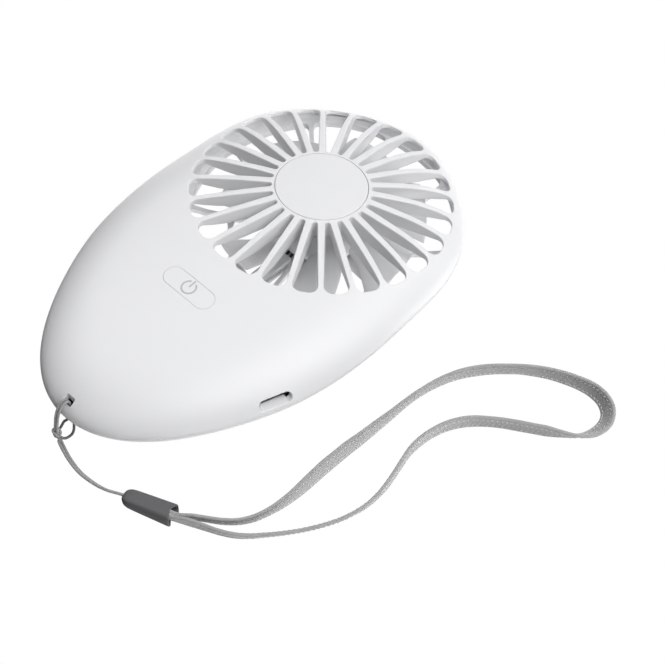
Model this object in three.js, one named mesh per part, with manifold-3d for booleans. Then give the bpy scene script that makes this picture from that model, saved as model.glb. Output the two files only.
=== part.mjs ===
// Pebble-shaped pocket fan lying on its back, with a wrist strap.
// Millimetres, +Z up out of the front grille, +Y from the strap end to the fan head,
// +X toward the charging port. The origin is under the middle of the body, on the surface it lies on.
import * as THREE from 'three';
import { mergeVertices } from 'three/addons/utils/BufferGeometryUtils.js';
import Module from 'manifold-3d';

const wasm = await Module();
wasm.setup();

// ---------------------------------------------------------------- driving dimensions
// Plan outline: radius in mm from (0, OUTLINE_Y) as a cosine series of the angle from +Y.
const OUTLINE = [53.942, -4.077, 11.478, -2.607, 1.309, -1.042, 0.662, -0.027, 0.288];
const OUTLINE_Y = 8.07;
const SEAM_Z = 8.5; // widest line, where the two shells meet
const SEAM_GAP = 0.3;
const TOP_H = 13.815; // crown of the front face above the seam
const TOP_Y = 10.0; // where the crown is highest
const CROWN_X = 3.863 / (37 * 37); // fall of the crown to the sides
const CROWN_HEAD = 3.718 / (37 * 37); // toward the fan head
const CROWN_TAIL = 1.506 / (37 * 37); // toward the strap end
const TOP_EDGE = 17.9; // width of the rounded front edge
const TOP_POWER = 2.33;
const BACK_H = 8.75;
const BACK_EDGE = 18.1;
const BACK_POWER = 1.79;
const WALL = 1.8;
const MESH_Y = -34; // middle of the mesh rows, on the plain part of the face

const FAN_Y = 28.07; // fan axis
const RIBS = 26;
const RIB_TURN = THREE.MathUtils.degToRad(2.72); // first rib, past +Y
const RIB_IN = 2.1; // rib width at the collar
const RIB_OUT = 1.55; // and at the rim
const SLOT_IN = 13.9;
const SLOT_OUT = 37.0;
const RING_R = 38.8; // outer edge of the ribs' underside
const DUCT_Y = FAN_Y - 1.5; // the duct sits a little nearer the strap end than the fan
const DUCT_IN = 38.7;
const DUCT_OUT = 40.0;
const DUCT_FLAT = FAN_Y - 37.5; // flat side of the duct, toward the battery
const CAP_R = 12.85;
const CAP_FLOOR = 19.2;
const BACK_RIBS = 10;
const BACK_RIB_W = 1.3;
const BACK_TURN = THREE.MathUtils.degToRad(12); // first rear rib, past +Y
const BACK_SLOTS = [[14.6, 24.6], [25.8, 38.3]]; // inner and outer radius of the rear slots

const BUTTON_Y = -22.0;
const BUTTON_L = 17.35;
const BUTTON_W = 6.0;
const BUTTON_GAP = 0.25;

const PORT_ANGLE = THREE.MathUtils.degToRad(132.6); // place of the charging port round the outline
const PORT_Z = 11.3;
const PORT_W = 9.3;
const PORT_H = 2.8;

const HOLE_X = 2.9; // strap hole
const HOLE_Y0 = -65.75;
const HOLE_Y1 = -63.9;

const SCREWS = [[31, -16], [-31, -16], [0, -56]];
const HUB_R = 13.0;
const HUB_WALL = 1.1;
const HUB_TOP = 14.7;
const HUB_BOTTOM = 3.6;
const BLADES = 7;
const TIP_R = 29.6;
const BLADE_TOP = 13.1; // at the hub
const BLADE_BOTTOM = 4.6;
const BLADE_TURN = THREE.MathUtils.degToRad(9.9); // middle of the first blade at the hub
const BLADE_SPAN = 0.352; // half of the angle a blade covers at the hub
const BLADE_SWEEP = 0.248; // swept angle from hub to tip

const CORD_R = 0.65;
const WEB_W = 5.8;
const WEB_T = 0.9;

// ---------------------------------------------------------------- shape of the pebble
const sum = (t) => OUTLINE.reduce((s, a, i) => s + a * Math.cos(i * t), 0);
const edge = (t, m) => Math.pow(1 - Math.pow(1 - Math.min(Math.max(t, 0), 1), m), 1 / m);
const crown = (x, y) => {
  const d = y - TOP_Y;
  return TOP_H - CROWN_X * x * x - (d > 0 ? CROWN_HEAD : CROWN_TAIL) * d * d;
};
const inset = (x, y) => sum(Math.atan2(x, y - OUTLINE_Y)) - Math.hypot(x, y - OUTLINE_Y);
const topZ = (x, y, s = 0) => SEAM_Z + (crown(x, y) - s) * edge((inset(x, y) - s) / (TOP_EDGE - s), TOP_POWER);
const backZ = (x, y, s = 0) => Math.max(s, SEAM_Z - (BACK_H - s) * edge((inset(x, y) - s) / (BACK_EDGE - s), BACK_POWER));

// ---------------------------------------------------------------- solids
function toSolid(geometry, matrix) {
  let g = geometry.clone();
  for (const name of Object.keys(g.attributes)) if (name !== 'position') g.deleteAttribute(name);
  if (matrix) g.applyMatrix4(matrix);
  g = mergeVertices(g, 1e-4);
  const pos = Float32Array.from(g.attributes.position.array);
  const src = g.index.array;
  const tri = [];
  let volume = 0;
  const at = (i, k) => pos[3 * i + k];
  for (let i = 0; i < src.length; i += 3) {
    const [a, b, c] = [src[i], src[i + 1], src[i + 2]];
    if (a === b || b === c || c === a) continue;
    tri.push(a, b, c);
    volume += at(a, 0) * (at(b, 1) * at(c, 2) - at(b, 2) * at(c, 1))
      - at(a, 1) * (at(b, 0) * at(c, 2) - at(b, 2) * at(c, 0))
      + at(a, 2) * (at(b, 0) * at(c, 1) - at(b, 1) * at(c, 0));
  }
  if (volume < 0) for (let i = 0; i < tri.length; i += 3) [tri[i], tri[i + 1]] = [tri[i + 1], tri[i]];
  return new wasm.Manifold(new wasm.Mesh({ numProp: 3, vertProperties: pos, triVerts: Uint32Array.from(tri) }));
}

function toGeometry(solid) {
  const mesh = solid.getMesh();
  const g = new THREE.BufferGeometry();
  g.setAttribute('position', new THREE.BufferAttribute(Float32Array.from(mesh.vertProperties), 3));
  g.setIndex(new THREE.BufferAttribute(Uint32Array.from(mesh.triVerts), 1));
  g.computeVertexNormals();
  return g;
}

const move = (x, y, z, turn = 0) => new THREE.Matrix4().makeRotationZ(turn).setPosition(x, y, z);

function box(x0, x1, y0, y1, z0, z1) {
  return toSolid(new THREE.BoxGeometry(x1 - x0, y1 - y0, z1 - z0), move((x0 + x1) / 2, (y0 + y1) / 2, (z0 + z1) / 2));
}

// A solid of revolution about Z from [radius, height] pairs that start and end on the axis, or close on themselves.
function turned(points, x, y, segments = 24) {
  const g = new THREE.LatheGeometry(points.map(([r, z]) => new THREE.Vector2(r, z)), segments);
  g.rotateX(Math.PI / 2);
  return toSolid(g, move(x, y, 0));
}
const rod = (r, z0, z1, x, y, segments = 20) => turned([[0, z0], [r, z0], [r, z1], [0, z1]], x, y, segments);
const ring = (r0, r1, z0, z1, x, y, segments = 32) => turned([[r0, z0], [r1, z0], [r1, z1], [r0, z1], [r0, z0]], x, y, segments);

function prism(shape, z0, z1, matrix, curveSegments = 6) {
  const g = new THREE.ExtrudeGeometry(shape, { depth: z1 - z0, bevelEnabled: false, curveSegments });
  g.translate(0, 0, z0);
  return toSolid(g, matrix);
}

function pill(length, width) {
  const r = width / 2;
  const h = length / 2 - r;
  const s = new THREE.Shape();
  s.moveTo(-h, -r);
  s.lineTo(h, -r);
  s.absarc(h, 0, r, -Math.PI / 2, Math.PI / 2, false);
  s.lineTo(-h, r);
  s.absarc(-h, 0, r, Math.PI / 2, 1.5 * Math.PI, false);
  return s;
}

function rounded(w, h, r) {
  const s = new THREE.Shape();
  s.moveTo(-w / 2 + r, -h / 2);
  s.lineTo(w / 2 - r, -h / 2);
  s.absarc(w / 2 - r, -h / 2 + r, r, -Math.PI / 2, 0, false);
  s.lineTo(w / 2, h / 2 - r);
  s.absarc(w / 2 - r, h / 2 - r, r, 0, Math.PI / 2, false);
  s.lineTo(-w / 2 + r, h / 2);
  s.absarc(-w / 2 + r, h / 2 - r, r, Math.PI / 2, Math.PI, false);
  s.lineTo(-w / 2, -h / 2 + r);
  s.absarc(-w / 2 + r, -h / 2 + r, r, Math.PI, 1.5 * Math.PI, false);
  return s;
}

// Round wire along points.
function wire(points, radius, steps, sides = 8) {
  const s = new THREE.Shape();
  for (let i = 0; i < sides; i++) {
    const a = (2 * Math.PI * i) / sides;
    if (i === 0) s.moveTo(radius, 0);
    else s.lineTo(radius * Math.cos(a), radius * Math.sin(a));
  }
  s.closePath();
  const path = new THREE.CatmullRomCurve3(points.map((p) => new THREE.Vector3(...p)), false, 'centripetal');
  return toSolid(new THREE.ExtrudeGeometry(s, { steps, bevelEnabled: false, extrudePath: path }));
}

// The pebble, or the same shape drawn in by s all round: a sphere whose rows are laid on the surface.
function pebble(s, around, rows) {
  const n = rows.length; // insets from the seam line inward, then the middle
  const g = new THREE.SphereGeometry(1, around, 2 * n);
  const pos = g.attributes.position;
  for (let iy = 0; iy <= 2 * n; iy++) {
    const k = n - Math.abs(iy - n); // 0 at the poles, n at the seam
    const front = iy < n;
    for (let ix = 0; ix <= around; ix++) {
      const t = Math.PI - (2 * Math.PI * (ix % around)) / around;
      const ox = (sum(t) - s) * Math.sin(t);
      const oy = OUTLINE_Y + (sum(t) - s) * Math.cos(t);
      const reach = Math.hypot(ox, oy - MESH_Y);
      const step = k === 0 ? reach : rows[n - k];
      const f = step < -1 ? -(step + 1) * (1 - 16 / reach) : 1 - step / reach; // share of the way out from the middle
      const x = k === 0 ? 0 : ox * f;
      const y = k === 0 ? MESH_Y : MESH_Y + (oy - MESH_Y) * f;
      const z = k === n ? SEAM_Z : front ? topZ(x, y, s) : backZ(x, y, s);
      pos.setXYZ(iy * (around + 1) + ix, x, y, z);
    }
  }
  return toSolid(g);
}
// Rows: insets in mm; a value below -1 is minus one minus the fraction of what is left inside the 16 mm row.
const OUTER_ROWS = [0, 0.35, 1.5, 4.2, 9, 16, -1.82, -1.5];
const INNER_ROWS = [0, 1.2, 5, 12.5, -1.5];
const outer = pebble(0, 52, OUTER_ROWS);
const inner = pebble(WALL, 32, INNER_ROWS);
const above = box(-100, 100, -100, 100, SEAM_Z + SEAM_GAP / 2, 60);
const below = box(-100, 100, -100, 100, -20, SEAM_Z - SEAM_GAP / 2);

// ---------------------------------------------------------------- fan grille
// Depth of the fins below the face, by radius, and the height that keeps clear of the fan wheel.
const FIN_DEPTH = [[0, 5.7], [14, 5.7], [25, 4.6], [29, 4.0], [33, 2.8], [36, 1.6], [40, 1.5]];
const FIN_CLEAR = [[0, 15.3], [15, 15.3], [20, 13.2], [28, 11.7], [31.5, 11.0], [33, 8.9], [40, 8.9]];
const between = (table, r) => {
  const i = Math.max(1, table.findIndex(([at]) => at >= r));
  const [r0, v0] = table[i - 1];
  const [r1, v1] = table[i];
  return v0 + ((v1 - v0) * (r - r0)) / (r1 - r0);
};

// Everything above the underside of the ribs, within the duct.
function grilleZone() {
  const radii = [0, 14, 19, 25, 29, 33, 36, RING_R];
  const under = -500;
  const pts = radii.map((r) => [r, under]).concat([[RING_R, 40], [0, 40]]);
  const g = new THREE.LatheGeometry(pts.map(([r, z]) => new THREE.Vector2(r, z)), RIBS, Math.PI / RIBS);
  g.rotateX(Math.PI / 2);
  g.rotateZ(RIB_TURN);
  const pos = g.attributes.position;
  for (let i = 0; i < pos.count; i++) {
    if (pos.getZ(i) > under + 1) continue;
    const x = pos.getX(i);
    const y = pos.getY(i) + FAN_Y;
    const r = Math.hypot(x, pos.getY(i));
    pos.setZ(i, Math.max(topZ(x, y) - between(FIN_DEPTH, r), between(FIN_CLEAR, r), SEAM_Z + 0.4));
  }
  return toSolid(g, move(0, FAN_Y, 0));
}

// Teardrop slot between two ribs, w0 wide at r0 and w1 at r1, pointing along +X before it is turned into place.
function slotShape(ribs, w0, w1, r0, r1, corner) {
  const a = Math.PI / ribs;
  const half = (r) => r * Math.tan(a) - (w0 + ((w1 - w0) * (r - r0)) / (r1 - r0)) / 2 / Math.cos(a);
  const right = [[r0, 0.5 * half(r0)], [r0 + 0.7 * half(r0), 1.02 * half(r0)], [r1 - corner, half(r1 - corner)],
    [r1, half(r1) - 1.1 * corner]];
  const s = new THREE.Shape();
  right.forEach(([u, v], i) => (i ? s.lineTo(u, v) : s.moveTo(u, v)));
  right.slice().reverse().forEach(([u, v]) => s.lineTo(u, -v));
  s.closePath();
  return s;
}

function cutSlots(solid, ribs, shape, z0, z1, first = 0) {
  let out = solid;
  for (let i = 0; i < ribs; i++) {
    const turn = Math.PI / 2 + first + (2 * Math.PI * (i + 0.5)) / ribs;
    out = out.subtract(prism(shape, z0, z1, move(0, FAN_Y, 0, turn)));
  }
  return out;
}

// Rear slot between two straight ribs: an arc outside and a straight edge inside, pointing along +X.
function rearSlot(r0, r1) {
  const a = Math.PI / BACK_RIBS;
  const at = (r) => a - Math.asin(BACK_RIB_W / 2 / r);
  const near = r0 / Math.cos(at(r0));
  const s = new THREE.Shape();
  s.moveTo(near * Math.cos(at(near)), -near * Math.sin(at(near)));
  for (let i = 0; i <= 6; i++) {
    const t = at(r1) * (i / 3 - 1);
    s.lineTo(r1 * Math.cos(t), r1 * Math.sin(t));
  }
  s.lineTo(near * Math.cos(at(near)), near * Math.sin(at(near)));
  s.closePath();
  return s;
}

// ---------------------------------------------------------------- shells
const portR = sum(PORT_ANGLE);
const portPoint = new THREE.Vector2(portR * Math.sin(PORT_ANGLE), OUTLINE_Y + portR * Math.cos(PORT_ANGLE));
const before = PORT_ANGLE - 0.06;
const after = PORT_ANGLE + 0.06;
const tangent = new THREE.Vector2(
  sum(after) * Math.sin(after) - sum(before) * Math.sin(before),
  sum(after) * Math.cos(after) - sum(before) * Math.cos(before),
).normalize();
const PORT_TURN = Math.atan2(tangent.x, -tangent.y); // way out of the port, about Z
const portFrame = (x, y, z) => new THREE.Matrix4().makeRotationZ(PORT_TURN).setPosition(portPoint.x, portPoint.y, PORT_Z)
  .multiply(new THREE.Matrix4().makeTranslation(x, y, z));
// A prism whose outline is in the plane of the port opening, from depth d0 to d1 along the way out.
const portPrism = (shape, d0, d1) => {
  const g = new THREE.ExtrudeGeometry(shape, { depth: d1 - d0, bevelEnabled: false, curveSegments: 4 });
  g.translate(0, 0, d0);
  g.applyMatrix4(new THREE.Matrix4().makeBasis(new THREE.Vector3(0, 1, 0), new THREE.Vector3(0, 0, 1), new THREE.Vector3(1, 0, 0)));
  return toSolid(g, portFrame(0, 0, 0));
};

const tailBlock = box(-4.4, 4.4, -80, -61.6, -5, 40);
const strapHole = box(-HOLE_X / 2, HOLE_X / 2, HOLE_Y0, HOLE_Y1, -5, 40);
const chamber = (r, flat) => rod(r, -5, 40, 0, DUCT_Y, 32).intersect(box(-100, 100, flat, 100, -10, 50));
const duct = chamber(DUCT_OUT, DUCT_FLAT - 1.3).subtract(chamber(DUCT_IN, DUCT_FLAT));

let frontRoom = inner.subtract(grilleZone()).subtract(duct).subtract(tailBlock);
for (const [x, y] of SCREWS) frontRoom = frontRoom.subtract(rod(2.6, -1, 40, x, y, 10));
let front = outer.intersect(above).subtract(frontRoom);
front = cutSlots(front, RIBS, slotShape(RIBS, RIB_IN, RIB_OUT, SLOT_IN, SLOT_OUT, 2.2), SEAM_Z, 40, RIB_TURN);
front = front.subtract(rod(CAP_R + 0.25, CAP_FLOOR - 0.3, 40, 0, FAN_Y, 36));
front = front.subtract(prism(pill(BUTTON_L + 2 * BUTTON_GAP, BUTTON_W + 2 * BUTTON_GAP), 12, 40, move(0, BUTTON_Y, 0), 8));
const portLining = new THREE.Shape(); // walls round the inner end of the port
[[-5.85, -2.3], [3.4, -2.3], [3.4, 2.6], [-5.85, 2.6]].forEach(([u, v], i) => (i ? portLining.lineTo(u, v) : portLining.moveTo(u, v)));
portLining.closePath();
front = front.add(portPrism(portLining, -5.2, 0).intersect(outer));
front = front.subtract(portPrism(rounded(PORT_W, PORT_H, 1.3), -7, 4));
front = front.subtract(strapHole);
for (const [x, y] of SCREWS) front = front.subtract(rod(1.3, 0, 12.4, x, y, 10));

let backRoom = inner.subtract(duct.subtract(box(-2.4, 2.4, -20, 0, WALL, 5.2))).subtract(tailBlock);
for (const [x, y] of SCREWS) backRoom = backRoom.subtract(rod(3.3, -1, 40, x, y, 12));
let back = outer.intersect(below).subtract(backRoom);
for (const [r0, r1] of BACK_SLOTS) {
  for (let i = 0; i < BACK_RIBS; i++) {
    const turn = Math.PI / 2 + BACK_TURN + (2 * Math.PI * (i + 0.5)) / BACK_RIBS;
    back = back.subtract(prism(rearSlot(r0, r1), -5, 7.9, move(0, DUCT_Y, 0, turn)).intersect(box(-100, 100, DUCT_FLAT + 0.5, 100, -10, 20)));
  }
}
back = back.add(outer.intersect(box(-2.2, 2.2, FAN_Y - 37, FAN_Y - 14, -1, WALL))); // strut that carries the motor leads
back = back.subtract(strapHole);
for (const [x, y] of SCREWS) back = back.subtract(rod(2.5, -5, 3.0, x, y, 14)).subtract(rod(1.3, 0, 40, x, y, 10));

const cap = outer.intersect(rod(CAP_R, CAP_FLOOR, 40, 0, FAN_Y, 36));

// ---------------------------------------------------------------- button and switch
const button = outer.intersect(prism(pill(BUTTON_L, BUTTON_W), 14.4, 40, move(0, BUTTON_Y, 0), 8))
  .add(prism(pill(BUTTON_L + 2.4, BUTTON_W + 2.4), 14.4, 15.4, move(0, BUTTON_Y, 0), 6));
const switchBase = box(-3, 3, BUTTON_Y - 3, BUTTON_Y + 3, 10.1, 12.4).subtract(rod(1.9, 11.4, 20, 0, BUTTON_Y, 16));
const switchPlunger = rod(1.6, 12.1, 14.1, 0, BUTTON_Y, 14);

// ---------------------------------------------------------------- fan and motor
function blade(i) {
  const NR = 4;
  const NC = 3;
  const g = new THREE.BoxGeometry(1, 1, 1, NR, NC, 1);
  const pos = g.attributes.position;
  for (let k = 0; k < pos.count; k++) {
    const s = pos.getX(k) + 0.5; // root to tip
    const c = 2 * pos.getY(k); // trailing to leading edge
    const side = pos.getZ(k); // thickness
    const r = HUB_R - 0.5 + s * (TIP_R - HUB_R + 0.5);
    const top = BLADE_TOP - (r - HUB_R) * 0.15;
    const mid = (top + BLADE_BOTTOM) / 2;
    const reach = (top - BLADE_BOTTOM) / 2 - 0.45;
    const span = BLADE_SPAN - 0.05 * s;
    const camber = 0.6 * (1 - c * c);
    const a = (2 * Math.PI * i) / BLADES + BLADE_TURN + c * span - BLADE_SWEEP * s;
    pos.setXYZ(k, r * Math.cos(a), r * Math.sin(a), mid + c * reach + camber + side * 0.9);
  }
  return toSolid(g, move(0, FAN_Y, 0));
}
let impeller = turned([[1.2, 10.8], [2.8, 10.8], [2.8, HUB_TOP - 1.2], [HUB_R - HUB_WALL, HUB_TOP - 1.2], [HUB_R - HUB_WALL, HUB_BOTTOM], [HUB_R, HUB_BOTTOM],
  [HUB_R, HUB_TOP - 0.5], [HUB_R - 0.5, HUB_TOP], [1.2, HUB_TOP], [1.2, 10.8]], 0, FAN_Y, 28);
for (let i = 0; i < BLADES; i++) impeller = impeller.add(blade(i));
const yoke = turned([[1.2, 9.7], [10.4, 9.7], [10.4, 4.6], [11.1, 4.6], [11.1, 10.4], [1.2, 10.4], [1.2, 9.7]], 0, FAN_Y, 24);
const magnet = ring(8.9, 10.15, 4.7, 9.2, 0, FAN_Y, 24);
const shaft = rod(0.9, 2.4, 14.5, 0, FAN_Y, 12);
const bearing = ring(1.15, 1.75, 3.2, 8.9, 0, FAN_Y, 14);
const bearingTube = ring(2.05, 2.75, 2.0, 9.3, 0, FAN_Y, 14);
const motorBoard = ring(3.1, 10.6, 2.1, 2.9, 0, FAN_Y, 20);

let stator = ring(3.1, 4.5, 4.8, 7.4, 0, FAN_Y, 16);
for (let i = 0; i < 4; i++) {
  const a = (i * Math.PI) / 2 + Math.PI / 4;
  const arm = toSolid(new THREE.BoxGeometry(4.0, 1.8, 2.6), new THREE.Matrix4().makeRotationZ(a).setPosition(0, FAN_Y, 6.1)
    .multiply(new THREE.Matrix4().makeTranslation(5.9, 0, 0)));
  const shoe = new THREE.Shape();
  shoe.absarc(0, 0, 8.55, -0.55, 0.55, false);
  shoe.absarc(0, 0, 7.7, 0.55, -0.55, true);
  stator = stator.add(arm).add(prism(shoe, 4.8, 7.4, move(0, FAN_Y, 0, a), 3));
}
const coils = [0, 1, 2, 3].map((i) => {
  const a = (i * Math.PI) / 2 + Math.PI / 4;
  const at = new THREE.Matrix4().makeRotationZ(a).setPosition(0, FAN_Y, 6.1);
  const shape = rounded(4.4, 4.4, 0.9);
  const hole = new THREE.Path([[-1.2, -1.6], [-1.2, 1.6], [1.2, 1.6], [1.2, -1.6]].map(([u, v]) => new THREE.Vector2(u, v)));
  shape.holes.push(hole);
  const g = new THREE.ExtrudeGeometry(shape, { depth: 2.0, bevelEnabled: false, curveSegments: 2 });
  g.applyMatrix4(new THREE.Matrix4().makeBasis(new THREE.Vector3(0, 1, 0), new THREE.Vector3(0, 0, 1), new THREE.Vector3(1, 0, 0)));
  g.translate(5.2, 0, 0);
  return toSolid(g, at);
});

// ---------------------------------------------------------------- power and electronics
const cell = prism(rounded(35, 35, 3), 2.7, 7.3, move(0, -30.2, 0), 4);
const pad = box(-13, 13, -44, -16, 1.9, 2.4);
const boardShape = new THREE.Shape();
[[-16, -12.6], [16, -12.6], [20, -16], [20, -20], [31.6, -25.2], [27.4, -33.4], [16, -40], [-16, -40]]
  .forEach(([x, y], i) => (i ? boardShape.lineTo(x, y) : boardShape.moveTo(x, y)));
boardShape.closePath();
const board = prism(boardShape, 8.8, 9.8, null);
const socketOuter = portPrism(rounded(8.3, 2.2, 0.8), -8.4, -2.7);
const socketRoom = portPrism(rounded(7.7, 1.6, 0.6), -7.8, 3);
const socket = socketOuter.subtract(socketRoom);
const tongue = portPrism(rounded(5.4, 0.6, 0.2), -7.5, -3.4);
const chargeChip = box(-12.5, -7.5, -21, -17, 10.1, 11.1);
const driverChip = box(8, 11, -36, -33, 10.1, 11.0);
const inductor = prism(rounded(4.2, 4.2, 0.8), 10.1, 12.1, move(-10, -33, 0), 3);
const lightDiode = box(6.4, 8.0, -17.4, -16.6, 10.1, 10.8);

const lead = (x, red) => wire([[x, FAN_Y - 9.4, 3.42], [x, FAN_Y - 10.6, 3.46], [x, FAN_Y - 11.5, 3.1], [x, FAN_Y - 12.2, 2.45], [x, FAN_Y - 14, 2.34], [x, 0, 2.4], [x, -9.5, 2.7], [x + red * 0.6, -11.3, 4.4],
  [x + red * 1.5, -11.45, 8.2], [x + red * 1.8, -11.9, 10.7], [x + red * 2.0, -14.2, 10.6]], 0.42, 18, 6);
// Channel over the motor leads where they cross the intake.
const leadCover = box(-2.1, 2.1, FAN_Y - 36.6, FAN_Y - 14.4, 2.1, 3.7).subtract(box(-1.5, 1.5, FAN_Y - 50, FAN_Y, 0, 3.15));
const cellLead = (x) => wire([[x, -12.2, 5.2], [x, -11.65, 6.2], [x, -11.5, 9.2], [x, -12.2, 10.9], [x, -14.2, 10.6]], 0.42, 10, 6);

// ---------------------------------------------------------------- fixings
const screw = ([x, y]) => turned([[0, 1.5], [0.9, 1.0], [2.1, 1.0], [2.1, 2.3], [1.6, 2.7], [0.95, 2.7], [0.95, 11.4], [0, 12.2]], x, y, 12);

// ---------------------------------------------------------------- wrist strap
const CORD_PATH = [[0, -64.85, 8.8], [0, -64.88, 12.6], [0, -65.7, 14.0], [0, -66.9, 14.2], [0, -68.3, 13.0], [0, -69.4, 10.4], [0, -70.1, 7.6], [0, -70.5, 5.2], [0.2, -70.5, 2.9],
  [1.2, -70.75, 1.2], [5.0, -72.0, 0.95], [8.3, -72.8, 0.95], [12.3, -73.3, 0.95], [17.1, -73.0, 1.1], [21.3, -72.2, 1.6], [25.4, -70.4, 2.2]];
const SLEEVE_AT = [32.8, -67.95];
const SLEEVE_TURN = Math.atan2(4.2, 13.4);
const WEB_PATH = [[40.6, -64.9], [47.1, -60.3], [53, -55.3], [56.2, -48.3], [57.2, -40.4], [57.1, -32.5], [57.1, -24.6], [57.5, -16.7], [57.9, -8.8],
  [58.2, -1], [58.9, 6.9], [60.9, 14.6], [64.6, 21.5], [69.8, 27.5], [75.9, 32.6], [82.9, 36.4], [90.9, 38.6], [98.2, 36.2],
  [99.5, 28.5], [94.2, 22.4], [87.5, 18.1], [80.7, 13.8], [74.7, 8.7], [70.6, 1.9], [69.2, -5.8], [70.3, -13.5], [72.2, -21.2],
  [72.7, -29.1], [70.9, -36.7], [67.4, -43.8], [62.9, -50.4], [57.8, -56.5], [51.5, -61], [44.2, -64.3], [40.6, -66.2]];
const cord = wire(CORD_PATH, CORD_R, 28, 8);
const sleeve = (() => {
  const g = new THREE.ExtrudeGeometry(rounded(3.7, 3.6, 1.2), { depth: 13.2, bevelEnabled: true, bevelThickness: 0.7, bevelSize: 0.6, bevelSegments: 1, curveSegments: 4 });
  g.translate(0, 0, -6.6);
  g.applyMatrix4(new THREE.Matrix4().makeBasis(new THREE.Vector3(0, 1, 0), new THREE.Vector3(0, 0, 1), new THREE.Vector3(1, 0, 0)));
  return toSolid(g, new THREE.Matrix4().makeRotationZ(SLEEVE_TURN).setPosition(SLEEVE_AT[0], SLEEVE_AT[1], 2.5));
})();
const webbing = (() => {
  const s = new THREE.Shape();
  s.moveTo(-WEB_W / 2, -WEB_T / 2);
  s.lineTo(WEB_W / 2, -WEB_T / 2);
  s.lineTo(WEB_W / 2, WEB_T / 2);
  s.lineTo(-WEB_W / 2, WEB_T / 2);
  s.closePath();
  const path = new THREE.CatmullRomCurve3(WEB_PATH.map(([x, y]) => new THREE.Vector3(x, y, WEB_W / 2 + 0.1)), false, 'centripetal');
  return toSolid(new THREE.ExtrudeGeometry(s, { steps: 64, bevelEnabled: false, extrudePath: path }));
})();

// ---------------------------------------------------------------- scene graph
const plastic = { white: ['#ececed', 0.42, 0], bright: ['#efeff0', 0.4, 0], grey: ['#c9cacd', 0.5, 0], black: ['#1d1e20', 0.6, 0] };
function mesh(name, solid, [color, roughness, metalness]) {
  const m = new THREE.Mesh(toGeometry(solid), new THREE.MeshStandardMaterial({ color, roughness, metalness }));
  m.name = name;
  return m;
}
const group = (...children) => {
  const g = new THREE.Group();
  g.add(...children);
  return g;
};

const housing = group(
  mesh('front_shell', front, plastic.white),
  mesh('grille_cap', cap, plastic.bright),
  mesh('rear_shell', back, plastic.white),
  mesh('lead_cover', leadCover, plastic.white),
  ...SCREWS.map((at, i) => mesh(`case_screw_${i + 1}`, screw(at), ['#b9bbbd', 0.35, 1])),
);
const control = group(
  mesh('power_button', button, plastic.bright),
  mesh('switch_plunger', switchPlunger, plastic.black),
  mesh('switch_base', switchBase, ['#2a2b2d', 0.55, 0]),
);
const rotor = group(
  mesh('impeller', impeller, plastic.grey),
  mesh('rotor_yoke', yoke, ['#9ea1a5', 0.35, 1]),
  mesh('rotor_magnet', magnet, ['#3a3b3e', 0.6, 0.2]),
  mesh('motor_shaft', shaft, ['#c4c6c9', 0.25, 1]),
);
const motor = group(
  mesh('motor_board', motorBoard, ['#1f5a37', 0.5, 0]),
  mesh('bearing_tube', bearingTube, ['#b4924e', 0.4, 1]),
  mesh('sleeve_bearing', bearing, ['#8f6d3a', 0.5, 0.9]),
  mesh('stator_core', stator, ['#6d7074', 0.5, 0.9]),
  ...coils.map((c, i) => mesh(`stator_coil_${i + 1}`, c, ['#b8622c', 0.4, 0.6])),
);
const electronics = group(
  mesh('battery_cell', cell, ['#b9bec4', 0.35, 0.4]),
  mesh('battery_pad', pad, ['#4a4b4d', 0.9, 0]),
  mesh('main_board', board, ['#1f5a37', 0.5, 0]),
  mesh('usb_socket', socket, ['#c3c5c8', 0.3, 1]),
  mesh('usb_tongue', tongue, plastic.black),
  mesh('charge_chip', chargeChip, plastic.black),
  mesh('driver_chip', driverChip, plastic.black),
  mesh('inductor', inductor, ['#4b4c50', 0.6, 0.1]),
  mesh('status_led', lightDiode, ['#f1efe2', 0.3, 0]),
  mesh('motor_lead_red', lead(0.75, 1), ['#b3262a', 0.5, 0]),
  mesh('motor_lead_black', lead(-0.75, -1), ['#202123', 0.5, 0]),
  mesh('battery_lead_red', cellLead(6.5), ['#b3262a', 0.5, 0]),
  mesh('battery_lead_black', cellLead(-6.5), ['#202123', 0.5, 0]),
);
const strap = group(
  mesh('strap_cord', cord, ['#85878a', 0.85, 0]),
  mesh('strap_sleeve', sleeve, ['#5b5d60', 0.65, 0]),
  mesh('strap_webbing', webbing, ['#a3a4a6', 0.9, 0]),
);

const fan = group(housing, control, rotor, motor, electronics, strap);
fan.name = 'pocket_fan';

export default fan;
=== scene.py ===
import math

import bmesh
import bpy
import numpy as np
from mathutils import Matrix, Vector


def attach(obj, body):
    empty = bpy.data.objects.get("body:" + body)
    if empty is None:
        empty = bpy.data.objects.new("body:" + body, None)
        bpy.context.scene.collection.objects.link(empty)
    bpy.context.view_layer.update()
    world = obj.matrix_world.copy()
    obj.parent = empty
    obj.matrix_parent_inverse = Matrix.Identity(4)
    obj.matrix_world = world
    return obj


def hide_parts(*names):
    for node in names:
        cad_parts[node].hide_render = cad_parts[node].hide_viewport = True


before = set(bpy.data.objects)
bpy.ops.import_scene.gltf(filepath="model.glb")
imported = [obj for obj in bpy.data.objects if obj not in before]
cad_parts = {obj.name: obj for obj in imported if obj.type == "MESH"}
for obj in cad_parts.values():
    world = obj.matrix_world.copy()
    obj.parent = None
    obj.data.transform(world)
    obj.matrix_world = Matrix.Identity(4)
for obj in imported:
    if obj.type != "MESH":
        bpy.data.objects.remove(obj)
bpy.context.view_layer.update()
scene = bpy.context.scene
MM = 0.001

# ---------------------------------------------------------------- camera

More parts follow.
